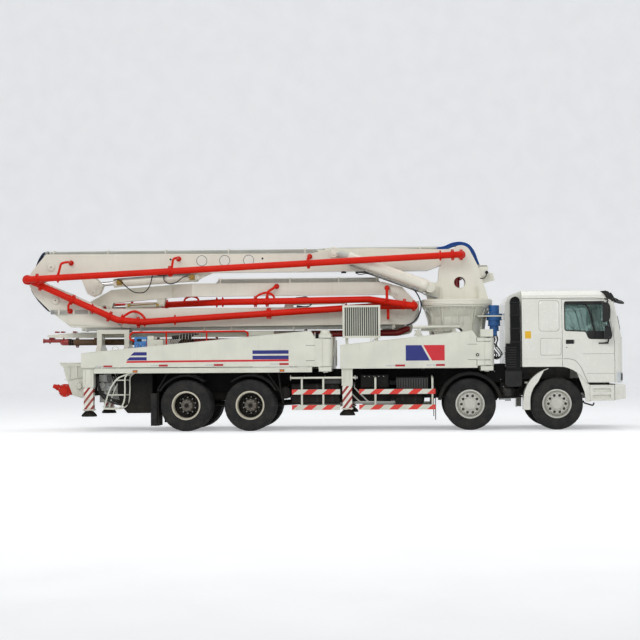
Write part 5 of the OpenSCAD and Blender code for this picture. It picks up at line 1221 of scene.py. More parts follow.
        # Foot: ribbed plate with a ball socket
        jack = "jack_" + e + tag
        c = (l, -LEG_Y if tag == "r" else LEG_Y, FOOT_Z)
        s = Shape()
        s.gussets(c, [(0.06, 0.038), (0.150, 0.038), (0.150, 0.052), (0.085, 0.115), (0.06, 0.115)], 8, 0.006)
        s.lathe([(0.085, 0.118), (0.090, 0.124), (0.090, 0.138), (0.078, 0.142)], c, "z", 28)
        s.lathe([(0.157, 0.002), (0.163, 0.008), (0.163, 0.030), (0.157, 0.038)], c, "z", 40)
        s.obj("foot_ribs_" + jack, [BLACK], jack, "black_paint", bevel=0.0015)

# Deck: side marker lamps, tubes, checker plate, control box, grating box, tail end
s = Shape()
for x in (-3.82, -0.72):
    for q in (-1, 1):
        for half, out, m in ((0.042, 1.256, 0), (0.05, 1.248, 1)):
            a, b = span(q, 1.243, out)
            s.box((x - half, a, 1.288 - half if m else 1.246), (x + half, b, 1.242 + half), m)
s.obj("side_lamps", [AMBER, PLASTIC], "root", "red_paint", bevel=0.003, seg=2)
s = Shape()
for q in (-1, 1):
    a, b = span(q, 1.246, 1.250)
    for z in (1.325, 1.228):
        s.box((-4.70, a, z), (-0.09, b, z + 0.012))
s.tube([(2.05, -0.72, 2.165), (3.02, -0.72, 2.165)], 0.032, 20)
s.tube([(2.035, -0.72, 2.165), (2.05, -0.72, 2.165)], 0.036, 20)
for x in (2.14, 2.90):
    s.prism([(x - 0.10, 1.98), (x + 0.10, 1.98), (x + 0.02, 2.13), (x - 0.02, 2.13)], -0.73, -0.71)
    s.box((x - 0.02, -0.74, 1.62), (x + 0.02, -0.70, 2.0))
s.tube(fillet([(2.05, -0.66, 2.09), (2.85, -0.66, 2.09), (2.95, -0.60, 2.02), (2.95, -0.60, 1.7)], 0.08, 5), 0.012,
       10)
s.tube(fillet([(2.2, -0.60, 2.12), (2.5, -0.60, 2.12), (2.6, -0.56, 1.9)], 0.08, 5), 0.016, 10)
s.obj("deck_tubes", [CREAM], "root", bevel=0.0015)
# Diamond pattern of the walkway plates
DECK_Z = 1.628
s = Shape()
for x0, x1 in ((-4.72, -0.16), (0.56, 2.24)):
    n = int((x1 - x0) / 0.06)
    for q in (-1, 1):
        for i in range(n):
            for j in range(7):
                x, y = x0 + (i + 0.5) * (x1 - x0) / n, q * (0.50 + 0.055 * j)
                dx, dy = (0.014, 0.009) if (i + j) % 2 else (0.014, -0.009)
                wx, wy = -dy * 0.25, dx * 0.25
                ends = (x - dx, y - dy, DECK_Z + 0.0002), (x + dx, y + dy, DECK_Z + 0.0002)
                s.face([ends[0], (x + wx, y + wy, DECK_Z + 0.0025), ends[1]])
                s.face([ends[1], (x - wx, y - wy, DECK_Z + 0.0025), ends[0]])
s.obj("tread_plate", [CREAM], "root")

paint_faces("deck", PANELBLUE, lambda c: -3.93 < c.x < -3.642 and -0.785 < c.y < -0.555 and c.z > 1.63)
s = Shape()
x0, x1 = -3.92, -3.645
s.prism(rect(x0 + 0.004, x1 - 0.004, 1.895, 2.00), -0.78, -0.60, 0)
s.prism(rect(x0 + 0.02, x1 - 0.02, 1.72, 1.98), -0.7835, -0.781, 0)
for i in range(5):
    for j in range(3):
        s.lathe([(0.009, -0.7835), (0.009, -0.790), (TIP, -0.791)], (x0 + 0.05 + 0.045 * i, 0, 1.76 + 0.045 * j), "y",
                12, 1 + (i + j) % 3)
s.prism(rect(x0 + 0.06, x0 + 0.16, 1.90, 1.96), -0.786, -0.783, 1)
for i in range(2):
    s.lathe([(0.022, -0.7835), (0.024, -0.789), (0.020, -0.790), (TIP, -0.7895)], (x0 + 0.19 + 0.05 * i, 0, 1.93),
            "y", 24, 2)
s.box((x1 - 0.012, -0.80, 1.80), (x1 - 0.004, -0.78, 1.90), 3)
s.obj("control_box", [PANELBLUE, PLASTIC, SILVER, LAMPRED], "root", "blue_paint", bevel=0.002)
s = Shape()
s.box((-3.635, -0.79, 1.93), (-3.50, -0.45, 2.02))
s.box((-3.49, -0.785, 1.70), (-3.36, -0.782, 1.92))
for x in (-3.60, -3.34):
    s.box((x, -0.79, 1.70), (x + 0.008, -0.78, 1.93))
s.tube([(-3.45, -0.79, 1.80), (-3.45, -0.79, 1.85)], 0.006, 8, 1)
s.box((-3.30, -0.70, 1.63), (-3.16, -0.50, 1.95), 1)
for k in range(5):
    s.tube(curve([(-3.16 + 0.03 * k, -0.66, 1.64), (-3.15 + 0.03 * k, -0.70, 1.80), (-3.12 + 0.04 * k, -0.70, 1.92),
                  (-3.06 + 0.05 * k, -0.64, 2.0)], 5), 0.010, 8, 1)
s.obj("cabinet_details", [CREAM, GREY], "root", bevel=0.002)
# Hatched guard box and the valve bank behind it
s = Shape()
for i in range(24):
    x = -1.445 + 0.0215 * i
    s.box((x, -0.792, 1.93), (x + 0.006, -0.786, 2.11))
for z in (1.925, 2.02, 2.105):
    s.box((-1.455, -0.796, z), (-0.935, -0.784, z + 0.012))
for x in (-1.455, -0.945):
    s.box((x, -0.80, DECK_Z), (x + 0.012, -0.78, 2.117))
s.box((-1.45, -0.78, 1.90), (-0.94, -0.45, 2.10))
for i in range(22):
    x = -2.95 + 0.064 * i
    s.box((x, -0.775, 1.94), (x + 0.006, -0.77, 2.06))
s.obj("guard_grating", [CREAM], "root")
s = Shape()
for i in range(6):
    s.tube(curve([(-2.98 + 0.05 * i, -0.5, 1.64), (-2.99 + 0.05 * i, -0.62, 1.86), (-2.94 + 0.05 * i, -0.66, 2.02),
                  (-2.86 + 0.06 * i, -0.60, 2.06)], 5), 0.016, 8)
s.tube([(-3.12, -0.66, 1.98), (-2.72, -0.66, 2.01)], 0.045, 16)
s.obj("deck_hoses", [HOSEBLACK], "root", "rubber")

# Handrail in one smooth tube, with foot plates
s = Shape()
RAIL_Y = -0.80
s.tube(fillet([(-3.92, RAIL_Y, 1.925), (-3.995, RAIL_Y, 1.935), (-4.015, RAIL_Y, 2.02), (-3.96, RAIL_Y, 2.10),
               (-1.54, RAIL_Y, 2.106), (-1.48, RAIL_Y, 2.07), (-1.475, RAIL_Y, DECK_Z)], 0.07, 8), 0.0195, 16)
for x in (-3.224, -2.360):
    s.tube([(x, RAIL_Y, DECK_Z), (x, RAIL_Y, 2.10)], 0.0175, 14)
for x in (-3.224, -2.360, -1.475):
    s.box((x - 0.035, -0.835, 1.627), (x + 0.035, -0.765, 1.637))
s.tube([(-3.93, RAIL_Y, 1.925), (-3.925, -0.78, 1.90)], 0.018, 10)
s.obj("handrail_tube", [RED], "root", "red_paint", node="handrail")

# Cab: beads, seals, door glass, handles, mirrors, visor, lamps, wipers, interior
# Grey for thin lines under beads and creases and round the raised panels, which paint the shade along those edges
SHADE_LINE = paint("panel_shade", (150, 151, 146), rough=0.5, coat=0.0)
YELLOW = paint("sticker_yellow", (226, 178, 28), rough=0.4)
MIRROR = metal("mirror_glass", (200, 206, 210), rough=0.05)
LENS = paint("lamp_lens", (206, 212, 214), rough=0.08, coat=1.0, dust=0.05)


def skin_y(z):
    """Half width of the cab at height z"""
    return 1.24 if z < 2.0 else 1.24 - (z - 2.0) * 0.0643 if z < 2.7 else 1.195 - (z - 2.7) * 0.35


def on_skin(pts, out=0.0):
    return [Vector((x, -skin_y(z) - out, z)) for x, z in pts]


def round_rect(x0, x1, z0, z1, r):
    out = []
    for cx, cz, a in ((x1 - r, z1 - r, 0), (x0 + r, z1 - r, 90), (x0 + r, z0 + r, 180), (x1 - r, z0 + r, 270)):
        out += arc(cx, cz, r, a, a + 90, 5)
    return out


def loop(s, pts, r):
    """Closed bead along points"""
    P = [Vector(p) for p in pts]
    n = len(P)
    rows = []
    for i in range(n):
        t = (P[(i + 1) % n] - P[i - 1]).normalized()
        o = Vector((0, -1, 0))
        o = (o - t * o.dot(t)).normalized()
        w = t.cross(o)
        rows.append([P[i] + (o * cos(pi / 4 * k) + w * sin(pi / 4 * k)) * r for k in range(8)])
    s.rows(rows, loop=True, flip=True)


s = Shape()
steps = ((0.0, -0.002), (0.002, 0.003), (0.026, 0.015), (0.034, 0.016))
# Raised panels, each ringed by a grey line that paints the shade at its edge
for x0, x1, z0, z1, r in ((4.636, 5.051, 2.048, 2.684, 0.07), (4.664, 5.085, 1.550, 1.896, 0.04)):
    rings = [on_skin(round_rect(x0 + d, x1 - d, z0 + d, z1 - d, r), out) for d, out in steps]
    s.rows(rings)
    s.face(rings[-1])
    s.rows([on_skin(round_rect(x0 - d, x1 + d, z0 - d, z1 + d, r), 0.0008) for d in (0.006, -0.006)], 1)
s.tube(on_skin([(4.292, 2.748), (4.6, 2.748), (5.2, 2.748), (5.8, 2.748), (5.95, 2.735), (6.06, 2.70), (6.13, 2.66)],
               -0.001), 0.016, 10)
# Grey line under the drip rail that paints its shadow
s.tube(on_skin([(4.292, 2.726), (4.6, 2.726), (5.2, 2.726), (5.8, 2.726), (5.95, 2.713), (6.05, 2.685)], -0.003),
       0.007, 8, 1)
# Grey line along the crease at 1.47 m that paints its shade
s.tube(on_skin([(4.296, 1.476), (4.9, 1.476), (5.10, 1.476)], -0.005), 0.007, 8, 1)
s.tube(on_skin([(4.292, 2.742), (4.292, 2.4), (4.292, 2.0), (4.292, 1.6), (4.292, 1.32)], -0.004), 0.008, 8)
s.tube(on_skin(curve([(4.30, 1.472), (4.8, 1.478), (5.10, 1.486)], 4), -0.002), 0.007, 8)
s.mirrored()
s.obj("cab_beads", [CABW, SHADE_LINE], "cab")
s = Shape()
s.box((5.01, -0.36, 2.903), (5.313, 0.36, 2.928))
s.obj("roof_hatch", [CABW], "cab", bevel=0.010, seg=3)

# Door skins: creases, arch lip, handle, key, window seal, divider, glass
for tag in "rl":
    body = "door_" + tag
    s = Shape()
    # Each crease has a grey line just below it that paints its shadow
    for x, z in ((5.53, 1.583), (5.61, 1.173)):
        s.tube(on_skin([(x, z), (6.17, z)], -0.004), 0.0065, 8)
        s.tube(on_skin([(x, z - 0.010), (6.17, z - 0.010)], -0.004), 0.0055, 8, 1)
    s.tube(on_skin(curve([(5.128, 1.487), (5.26, 1.482), (5.384, 1.443), (5.495, 1.316), (5.575, 1.14), (5.61, 1.06),
                          (5.645, 0.995)], 5), -0.002), 0.008, 8)
    # Grey line under the arch crease that paints its shadow
    s.tube(on_skin(curve([(5.128, 1.476), (5.25, 1.470), (5.376, 1.433), (5.485, 1.306), (5.565, 1.13), (5.60, 1.05),
                          (5.635, 0.985)], 5), -0.003), 0.007, 8, 1)
    s.sided(tag)
    s.obj("door_creases_" + tag, [CABW, SHADE_LINE], body)
    s = Shape()
    win = [(5.170, 2.060), (5.600, 2.040), (5.660, 1.890), (6.110, 1.880), (6.135, 1.960), (5.990, 2.655),
           (5.170, 2.655)]
    P = []
    n = len(win)
    for i in range(n):
        a, p, b = Vector(win[i - 1]), Vector(win[i]), Vector(win[(i + 1) % n])
        u, v = (a - p).normalized(), (b - p).normalized()
        for k in range(4):
            t = k / 3
            q = (p + u * 0.04) * (1 - t) ** 2 + p * 2 * t * (1 - t) + (p + v * 0.04) * t * t
            P.append((q.x, q.y))
    loop(s, on_skin(P, -0.002), 0.013)
    s.tube(on_skin([(5.40, 2.635), (5.50, 2.632), (5.60, 2.60), (5.66, 2.53), (5.70, 2.40), (5.745, 2.2),
                    (5.775, 2.05), (5.79, 1.91)], -0.016), 0.019, 10)
    # Dark corner cover below the divider and the sun strip above
    s.prism([(5.665, 1.892), (6.10, 1.886), (6.122, 1.96), (6.105, 2.045), (5.62, 2.045)], -1.225, -1.215)
    s.box((5.19, -1.205, 2.60), (5.98, -1.198, 2.648))
    # Handle in its recess, lock
    s.box((5.185, -1.2415, 1.780), (5.350, -1.2385, 1.868))
    s.box((5.20, -1.252, 1.822), (5.338, -1.243, 1.852))
    for x in (5.205, 5.335):
        s.box((x, -1.235, 1.825), (x + 0.016, -1.218, 1.855))
    s.lathe([(0.012, -1.240), (0.012, -1.243), (TIP, -1.2435)], (5.203, 0, 1.708), "y", 16)
    # Mirror foot on the door
    s.box((5.86, -1.262, 1.778), (6.06, -1.238, 1.806))
    s.sided(tag)
    s.obj("door_trim_" + tag, [PLASTIC], body, "black_plastic", bevel=0.002)
    s = Shape()
    f = lambda x, z, d: (x, -(1.222 - (z - 1.88) * 0.0542) + d, z)
    s.rows([[f(x, z, 0.0) for x, z in win], [f(x, z, 0.004) for x, z in win]])
    s.face([f(x, z, 0.0) for x, z in win][::-1])
    s.face([f(x, z, 0.004) for x, z in win])
    s.sided(tag)
    s.obj("door_glass_" + tag, [GLASS], body, "glass")
    # Mirror pair: rounded housings, silvered faces looking back, arms
    s = Shape()
    for x0, x1, y0, y1, z0, z1 in ((5.915, 6.085, 1.295, 1.487, 2.225, 2.64),
            (5.955, 6.100, 1.298, 1.483, 1.88, 2.15)):
        ym, zm, h, w = (y0 + y1) / 2, (z0 + z1) / 2, (z1 - z0) / 2, (y1 - y0) / 2
        rows = []
        for x, k in ((x0, 0.96), (x0 + 0.004, 1.0), (x0 + (x1 - x0) * 0.5, 0.97), (x0 + (x1 - x0) * 0.8, 0.86),
                     (x1 - 0.006, 0.62), (x1, 0.35)):
            row = []
            for i in range(32):
                a = 2 * pi * i / 32
                c, d = cos(a), sin(a)
                row.append((x, -(ym + w * k * math.copysign(abs(c) ** 0.45, c)),
                            zm + h * k * math.copysign(abs(d) ** 0.45, d)))
            rows.append(row)
        s.rows(rows)
        s.face(rows[0])
        s.face(rows[-1][::-1])
        s.prism([(-(ym + w * 0.88), zm - h * 0.92), (-(ym - w * 0.88), zm - h * 0.92),
                 (-(ym - w * 0.88), zm + h * 0.92), (-(ym + w * 0.88), zm + h * 0.92)], x0 - 0.002, x0 + 0.001, 1,
                "yz")
    s.tube(fillet([(6.03, -1.39, 2.60), (6.035, -1.39, 2.70), (6.0, -1.19, 2.715)], 0.04, 6), 0.014, 12)
    s.tube(fillet([(6.04, -1.39, 1.93), (6.045, -1.39, 1.82), (6.0, -1.245, 1.80)], 0.05, 6), 0.015, 12)
    s.tube([(6.04, -1.39, 2.0), (6.035, -1.39, 2.40)], 0.014, 12)
    s.sided(tag)
    s.obj("mirrors_" + tag, [PLASTIC, MIRROR], body, "black_plastic", node="mirror_" + tag)

# Sun visor with side wings, its brackets, and the look-down mirror
s = Shape()
s.prism([(6.155, 2.80), (6.235, 2.655), (6.262, 2.646), (6.182, 2.808)], -1.06, 1.06)
for q in (-1, 1):
    a, b = span(q, 1.188, 1.202)
    s.prism([(5.905, 2.872), (6.02, 2.885), (6.085, 2.86), (6.185, 2.67), (6.165, 2.655), (6.075, 2.665),
             (5.99, 2.80)], a, b)
    a, b = span(q, 1.055, 1.195)
    s.prism([(6.10, 2.835), (6.195, 2.665), (6.225, 2.665), (6.135, 2.845)], a, b)
for y in (-0.8, -0.27, 0.27, 0.8):
    s.box((6.12, y - 0.012, 2.72), (6.19, y + 0.012, 2.76))
s.obj("sun_visor", [PLASTIC], "cab", "black_plastic", bevel=0.004, seg=2, node="cab_trim")
s = Shape()
s.tube(fillet([(6.14, -0.92, 2.74), (6.22, -0.98, 2.735), (6.30, -1.0, 2.70), (6.31, -1.0, 2.66)], 0.04, 5), 0.012,
       12)
rows = []
for k, z in ((0.35, 2.684), (0.8, 2.678), (1.0, 2.662), (1.02, 2.648), (0.98, 2.642)):
    ring = [(k * cos(2 * pi * i / 32), k * sin(2 * pi * i / 32)) for i in range(32)]
    rows.append([(6.315 + 0.11 * c, -1.0 + 0.13 * d, z - 0.02 * c + 0.035 * d) for c, d in ring])
s.rows(rows)
s.face(rows[0][::-1])
s.face(rows[-1], 1)
s.obj("look_down_mirror", [PLASTIC, MIRROR], "cab", "black_plastic")

# Headlamps that wrap the corners, indicators, grille, plate, fog lamps, wipers, screen seal
s = Shape()
for q in (-1, 1):
    a, b = span(q, 0.86, 1.17)
    s.box((6.335, a, 1.02), (6.352, b, 1.17), 1)
    for y in (0.94, 1.08):
        s.lathe([(0.062, 6.350), (0.064, 6.362), (0.056, 6.3625), (0.030, 6.352), (TIP, 6.350)], (0, q * y, 1.095),
                "x", 32, 2)
    rows = []
    for i in range(13):
        a = math.radians(4 + 66 * i / 12)
        c = (6.146, q * 1.02)
        wall = ((0.2215, 0.990), (0.2255, 0.990), (0.2255, 1.195), (0.2215, 1.195))
        rows.append([(c[0] + r * cos(a), c[1] + q * r * sin(a), z) for r, z in wall])
    s.rows(rows, 0)
    s.face(rows[0])
    s.face(rows[-1][::-1])
    for z in (1.04, 1.09, 1.14):
        s.lathe([(0.020, -0.003), (0.022, 0.004), (TIP, 0.008)], (6.345, q * 1.145, z), "x", 16, 2)
s.obj("headlamps", [LENS, PLASTIC, CHROME], "cab", "glass")
s = Shape()
for k in range(6):
    z = 1.30 + 0.075 * k
    s.box((6.3415, -0.718, z + 0.001), (6.346, 0.718, z + 0.029))
s.box((6.355, -0.76, 1.765), (6.369, 0.76, 1.80))
for y in (-0.55, 0.0, 0.55):
    p = (6.372, y, 1.84)
    s.tube([(6.352, y, 1.845), p], 0.018, 10)
    s.tube([p, (6.372, y - 0.16, 2.10), (6.316, y - 0.22, 2.36)], 0.007, 8)
    s.tube([(6.368, y - 0.13, 1.93), (6.334, y - 0.19, 2.16), (6.278, y - 0.25, 2.42)], 0.010, 6)
edge = [(-1.078, 1.872), (1.078, 1.872), (1.008, 2.658), (-1.008, 2.658)]
fx = lambda z: 6.362 - (z - 1.82) * 0.2189
s.tube([(fx(z) - 0.002, y, z) for y, z in edge + edge[:1]], 0.012, 8)
s.obj("cab_front_trim", [PLASTIC], "cab", "black_plastic", bevel=0.002)
s = Shape()
s.box((6.4025, -0.24, 0.70), (6.4045, 0.24, 0.82), 1)
for q in (-1, 1):
    s.lathe([(0.055, 6.396), (0.057, 6.404), (0.045, 6.4045), (TIP, 6.400)], (0, q * 0.78, 0.73), "x", 32, 2)
    a, b = span(q, 0.66, 0.90)
    s.box((6.400, a, 0.66), (6.4035, b, 0.80), 3)
    a, b = span(q, 1.2355, 1.239)
    s.prism(rect(6.176, 6.182, 0.62, 0.938), a, b, 3)
    s.prism([(5.66, 0.905), (6.17, 0.915), (6.17, 0.921), (5.66, 0.911)], a, b, 0)
    s.tube(fillet([(5.54, q * 1.12, 0.60), (5.56, q * 1.13, 0.555), (5.74, q * 1.14, 0.50), (5.765, q * 1.14, 0.56)],
                  0.03, 4), 0.017, 10, 3)
    lip = [(5.40, 1.215), (5.53, 1.10), (5.645, 0.955), (5.70, 0.905), (5.70, 0.585), (5.592, 0.575), (5.565, 0.78),
           (5.485, 1.0)]
    s.prism(lip, *span(q, 1.165, 1.200), 0)
s.obj("bumper_fittings", [CABW, SILVER, LENS, PLASTIC], "root", bevel=0.0015)
# Blank yellow label behind each door
s = Shape()
s.prism(rect(4.345, 4.470, 1.90, 2.05), -1.2412, -1.2385)
s.obj("yellow_label", [YELLOW], "cab")


# Interior: dash, two seats, bunk, wheel
def pad(name, mid, half, tilt=0.0, channels=0):
    """Sewn cushion: a crowned form whose sides pull in, with channels across the top"""
    s = Shape()
    n = 18
    for ax in range(3):
        for sg in (-1, 1):
            rows = []
            for i in range(n + 1):
                row = []
                for k in range(n + 1):
                    p = [0.0] * 3
                    p[ax], p[(ax + 1) % 3], p[(ax + 2) % 3] = sg, 2 * i / n - 1, 2 * k / n - 1
                    q = sum(abs(c) ** 5 for c in p) ** 0.2
                    x, y, z = (c / q for c in p)
                    x, y = x * (0.96 + 0.04 * y * y), y * (0.96 + 0.04 * x * x)
                    if channels and z > 0.3:
                        u = (x + 1) / 2 * channels
                        if 0.5 < u < channels - 0.5:
                            z -= 0.12 * math.exp(-((u - round(u)) / 0.13) ** 2)
                    x, y, z = x * half[0], y * half[1], z * half[2]
                    row.append((mid[0] + x * cos(tilt) + z * sin(tilt), mid[1] + y,
                            mid[2] - x * sin(tilt) + z * cos(tilt)))
                rows.append(row)
            s.rows(rows, 0, ring=False, flip=sg < 0)
    o = s.obj(name, [CLOTH], "cab", "cab_trim_plastic", angle=60)


SEAT_Y = 0.62
s = Shape()
s.box((5.655, -1.045, 1.502), (6.175, 1.045, 1.78))
s.prism([(5.66, 1.77), (6.17, 1.77), (6.17, 1.86), (5.90, 1.90), (5.72, 1.86)], -1.045, 1.045)
s.prism([(5.74, 1.88), (5.86, 1.90), (5.92, 1.98), (5.80, 1.98)], 0.36, 0.88)
s.obj("dashboard", [PLASTIC], "cab", "cab_trim_plastic", bevel=0.012, seg=3, node="cab_interior")
for q, tag in ((-SEAT_Y, "r"), (SEAT_Y, "l")):
    s = Shape()
    s.box((4.96, q - 0.24, 1.505), (5.42, q + 0.24, 1.655), 1)
    s.obj("seat_base_" + tag, [PLASTIC, BLACK], "cab", "cab_trim_plastic", bevel=0.02, seg=3)
    pad("seat_cushion_" + tag, (5.195, q, 1.725), (0.25, 0.255, 0.07), -0.05, 3)
    pad("seat_back_" + tag, (4.955, q, 2.03), (0.235, 0.245, 0.055), pi / 2 + 0.20, 3)
    pad("head_rest_" + tag, (4.895, q, 2.345), (0.08, 0.14, 0.045), pi / 2 + 0.15)
pad("bunk", (4.38, 0, 1.65), (0.32, 0.90, 0.145), 0.0, 0)
s = Shape()
lean = math.radians(60)
c, ax = Vector((5.60, SEAT_Y, 2.01)), Vector((sin(lean), 0, cos(lean)))
u1 = ax.orthogonal().normalized()
w1 = ax.cross(u1)
ring = [c + (u1 * cos(2 * pi * k / 40) + w1 * sin(2 * pi * k / 40)) * 0.22 for k in range(40)]
loop(s, ring, 0.016)
for k in range(3):
    a = 2 * pi * k / 3 + pi / 2
    s.tube([c + ax * 0.03, c + (u1 * cos(a) + w1 * sin(a)) * 0.215], 0.012, 8)
s.tube([c + ax * 0.02, c + ax * 0.06], 0.05, 20)
s.tube([c + ax * 0.04, (5.80, SEAT_Y, 1.84)], 0.028, 12)
s.obj("steering_wheel", [PLASTIC], "cab", "cab_trim_plastic")

# Side guards, ladders, fenders, boxes on the chassis, pump hoses, hopper and rear lamps
HOP_Y, SHAFT_Z, RAIL_BACK = 0.76, 0.96, -4.88
REDTAPE = paint("guard_tape", (222, 40, 24), rough=0.35, coat=0.3, dust=0.1)
SHADE = paint("box_grey", (46, 47, 47), rough=0.6, coat=0.0, dust=0.2)
PUMPGREY = paint("pump_grey", (196, 197, 192), rough=0.45, dust=0.3, mottle=0.12)
# The subframe and the deck below 1.29 m are cream in the CAD; they are painted black here for the shade under the
# side strips: painted shade
paint_faces("subframe", BLACK, lambda c: c.z < 1.2915 and abs(c.y) < 0.44)
paint_faces("deck", BLACK, lambda c: c.z < 1.2915 and abs(c.y) < 1.0)


# Guard boards with slanted tape, bent posts and the tube above
s = Shape()
for x0, x1, c0 in ((-0.517, 0.493, -0.140), (0.891, 2.482, 1.265)):
    for z in (0.438, 0.763):
        h = 0.104
        s.prism([(-1.200, z), (-1.186, z), (-1.186, z + 0.012), (-1.192, z + 0.012), (-1.192, z + h - 0.012),
                 (-1.186, z + h - 0.012), (-1.186, z + h), (-1.200, z + h)], x0, x1, 0, "yz")
        for k in range(-5, 6):
            c = c0 + 0.398 * k
            q = [(c - 0.155, z + 0.001), (c + 0.035, z + 0.001), (c + 0.155, z + h - 0.001),
                 (c - 0.035, z + h - 0.001)]
            q = [(min(max(x, x0), x1), w) for x, w in q]
            if q[2][0] - q[0][0] > 0.03:
                slab(s, q, 1, 1.200, 0.0012)
        for x in (x0 + 0.05, x1 - 0.05):
            s.bolt((x, -1.201, z + h / 2), (0, -1, 0), 0.009, 0.006, 2)
for x in (-0.330, 0.120, 1.210, 2.400):
    p = fillet([(x + 0.02, -1.168, 0.438), (x + 0.02, -1.168, 1.09), (x + 0.02, -0.445, 1.135)], 0.10, 6)
    s.tube(p, 0.022, 10)
    s.box((x, -1.186, 0.45), (x + 0.04, -1.135, 0.56))
    s.box((x, -1.186, 0.77), (x + 0.04, -1.135, 0.86))
    s.box((x - 0.02, -0.46, 1.08), (x + 0.06, -0.432, 1.19), 3)
s.tube([(-0.55, -1.15, 1.11), (0.83, -1.15, 1.11)], 0.022, 14)
s.tube([(-0.552, -1.15, 1.11), (-0.540, -1.15, 1.11)], 0.055, 18)
s.tube([(0.80, -1.15, 1.11), (0.815, -1.15, 1.11)], 0.050, 18)
s.tube([(0.815, -1.15, 1.11), (0.86, -1.15, 1.11)], 0.030, 14, 2)
s.mirrored()
s.obj("side_guard_boards", [CREAM, REDTAPE, ZINC, BLACK], "root", bevel=0.001, node="side_guards")

# Ladders to the deck, bowed outwards, with tube treads
s = Shape()
bow = [(-3.945, 1.235), (-4.05, 1.19), (-4.20, 1.12), (-4.32, 0.97), (-4.40, 0.80), (-4.455, 0.62), (-4.490, 0.485)]
back = [(-4.490, 0.485), (-4.30, 0.480), (-4.20, 0.49), (-4.115, 0.54), (-4.06, 0.66), (-4.045, 0.85), (-4.045, 1.05),
        (-4.03, 1.16), (-3.945, 1.235)]
treads = ((1.085, -4.235), (0.775, -4.408), (0.49, -4.485))
for y, dx in ((-1.20, 0.0), (-0.93, 0.055)):
    s.tube(curve([(x + dx, y, z) for x, z in bow], 5), 0.0165, 12)
    s.tube(curve([(x + dx, y, z) for x, z in back], 5), 0.0165, 12)
    s.tube([(-3.945 + dx, y, 1.22), (-3.945 + dx, y, 1.27)], 0.03, 14)
    for z, x in treads:
        s.tube([(x + dx, y, z), ((-4.045 if z > 0.5 else -4.22) + dx, y, z)], 0.013, 10)
for z, x in treads:
    for k in range(4):
        t = x + ((-4.06 if z > 0.5 else -4.24) - x) * k / 3
        s.tube([(t, -1.20, z), (t + 0.055, -0.93, z)], 0.012, 10)
s.mirrored()
s.obj("ladders", [CREAM], "root")

# Rolled lips and stays of the fenders, mud flaps
s = Shape()
az = PIN["roll_1l"].z
for cx, r, a0, a1, y, w in ((PIN["steer_2l"].x, 0.668, 12, 172, 1.19, 0.062),
                            (PIN["roll_3l"].x, 0.640, 30, 128, 1.215, 0.03),
                            (PIN["roll_4l"].x, 0.640, 52, 150, 1.215, 0.03)):
    rows = []
    for x, z in arc(0, 0, 1, a0, a1, 40):
        rows.append([(cx + x * k, -t, az + z * k) for k, t in ((r + 0.010, y - 0.012), (r + 0.010, y + 0.006),
                (r + 0.002, y + 0.018), (r - w + 0.012, y + 0.020), (r - w, y + 0.012), (r - w + 0.002, y + 0.004),
                (r - 0.004, y + 0.004), (r - 0.004, y - 0.012))])
    s.rows(rows)
    s.face(rows[0])
    s.face(rows[-1][::-1])
for x, z, x2, z2 in ((-3.14, 1.235, -3.36, 0.86), (-1.04, 1.235, -0.75, 0.80), (-0.80, 1.235, -0.75, 0.80),
                     (-0.75, 0.80, -0.70, 0.58)):
    s.tube([(x, -1.185, z), (x2, -1.185, z2)], 0.017, 8)
s.box((2.478, -1.17, 0.22), (2.490, -0.86, 0.80))
s.mirrored()
s.obj("fender_lips", [BLACK], "root", "black_paint")

# Boxes and tanks between the axles
s = Shape()
t = [(-1.10, 0.60), (-1.06, 0.56), (-0.66, 0.56), (-0.62, 0.60), (-0.62, 0.94), (-0.66, 0.98), (-1.06, 0.98),
     (-1.10, 0.94)]
s.prism(t, -0.53, 0.46, 0, "yz")
for x in (-0.38, -0.02, 0.30):
    s.prism([(y + (-0.006 if y < -0.86 else 0.006), z + (0.006 if z > 0.77 else -0.006)) for y, z in t], x, x + 0.05,
            1, "yz")
s.tube([(-0.25, -0.95, 0.975), (-0.25, -0.95, 1.02)], 0.05, 20)
s.box((0.16, -1.08, 0.985), (0.50, -0.80, 1.115), 2)
s.box((1.67, -1.10, 0.875), (2.33, -0.70, 1.10), 2)
s.box((1.66, -1.108, 1.092), (2.34, -0.69, 1.112))
for k in range(12):
    s.box((1.70 + 0.053 * k, -1.106, 0.89), (1.715 + 0.053 * k, -1.099, 1.08))
r = 0.135
s.lathe([(TIP, 1.615), (0.05, 1.620), (0.10, 1.640), (r - 0.012, 1.665), (r, 1.70), (r, 2.17), (r - 0.012, 2.205),
         (0.10, 2.23), (0.05, 2.25), (TIP, 2.255)], (0, -0.93, 0.655), "x", 36, 0)
for x in (1.78, 2.05):
    s.lathe(rect(r, r + 0.004, x, x + 0.035), (0, -0.93, 0.655), "x", 36, 1)
for x in (0.60, 0.78):
    s.tube(fillet([(x, -0.70, 1.0), (x, -1.0, 0.9), (x + 0.3, -1.05, 0.60), (1.66, -0.98, 0.585)], 0.08, 5), 0.016,
           10, 3)
s.tube([(0.78, -0.90, 0.575), (1.60, -0.90, 0.575)], 0.024, 14, 3)
s.box((0.62, -0.70, 0.60), (1.55, -0.44, 0.80))
s.box((0.92, -1.02, 0.90), (1.50, -0.60, 1.16))
s.tube([(1.52, -0.85, 1.00), (1.66, -0.85, 1.00)], 0.05, 16, 1)
for i in range(5):
    s.bolt((1.0 + 0.1 * i, -1.021, 1.13), (0, -1, 0), 0.010, 0.008, 3)
s.box((-3.50, -1.19, 0.12), (-3.37, -0.66, 0.80), 1)
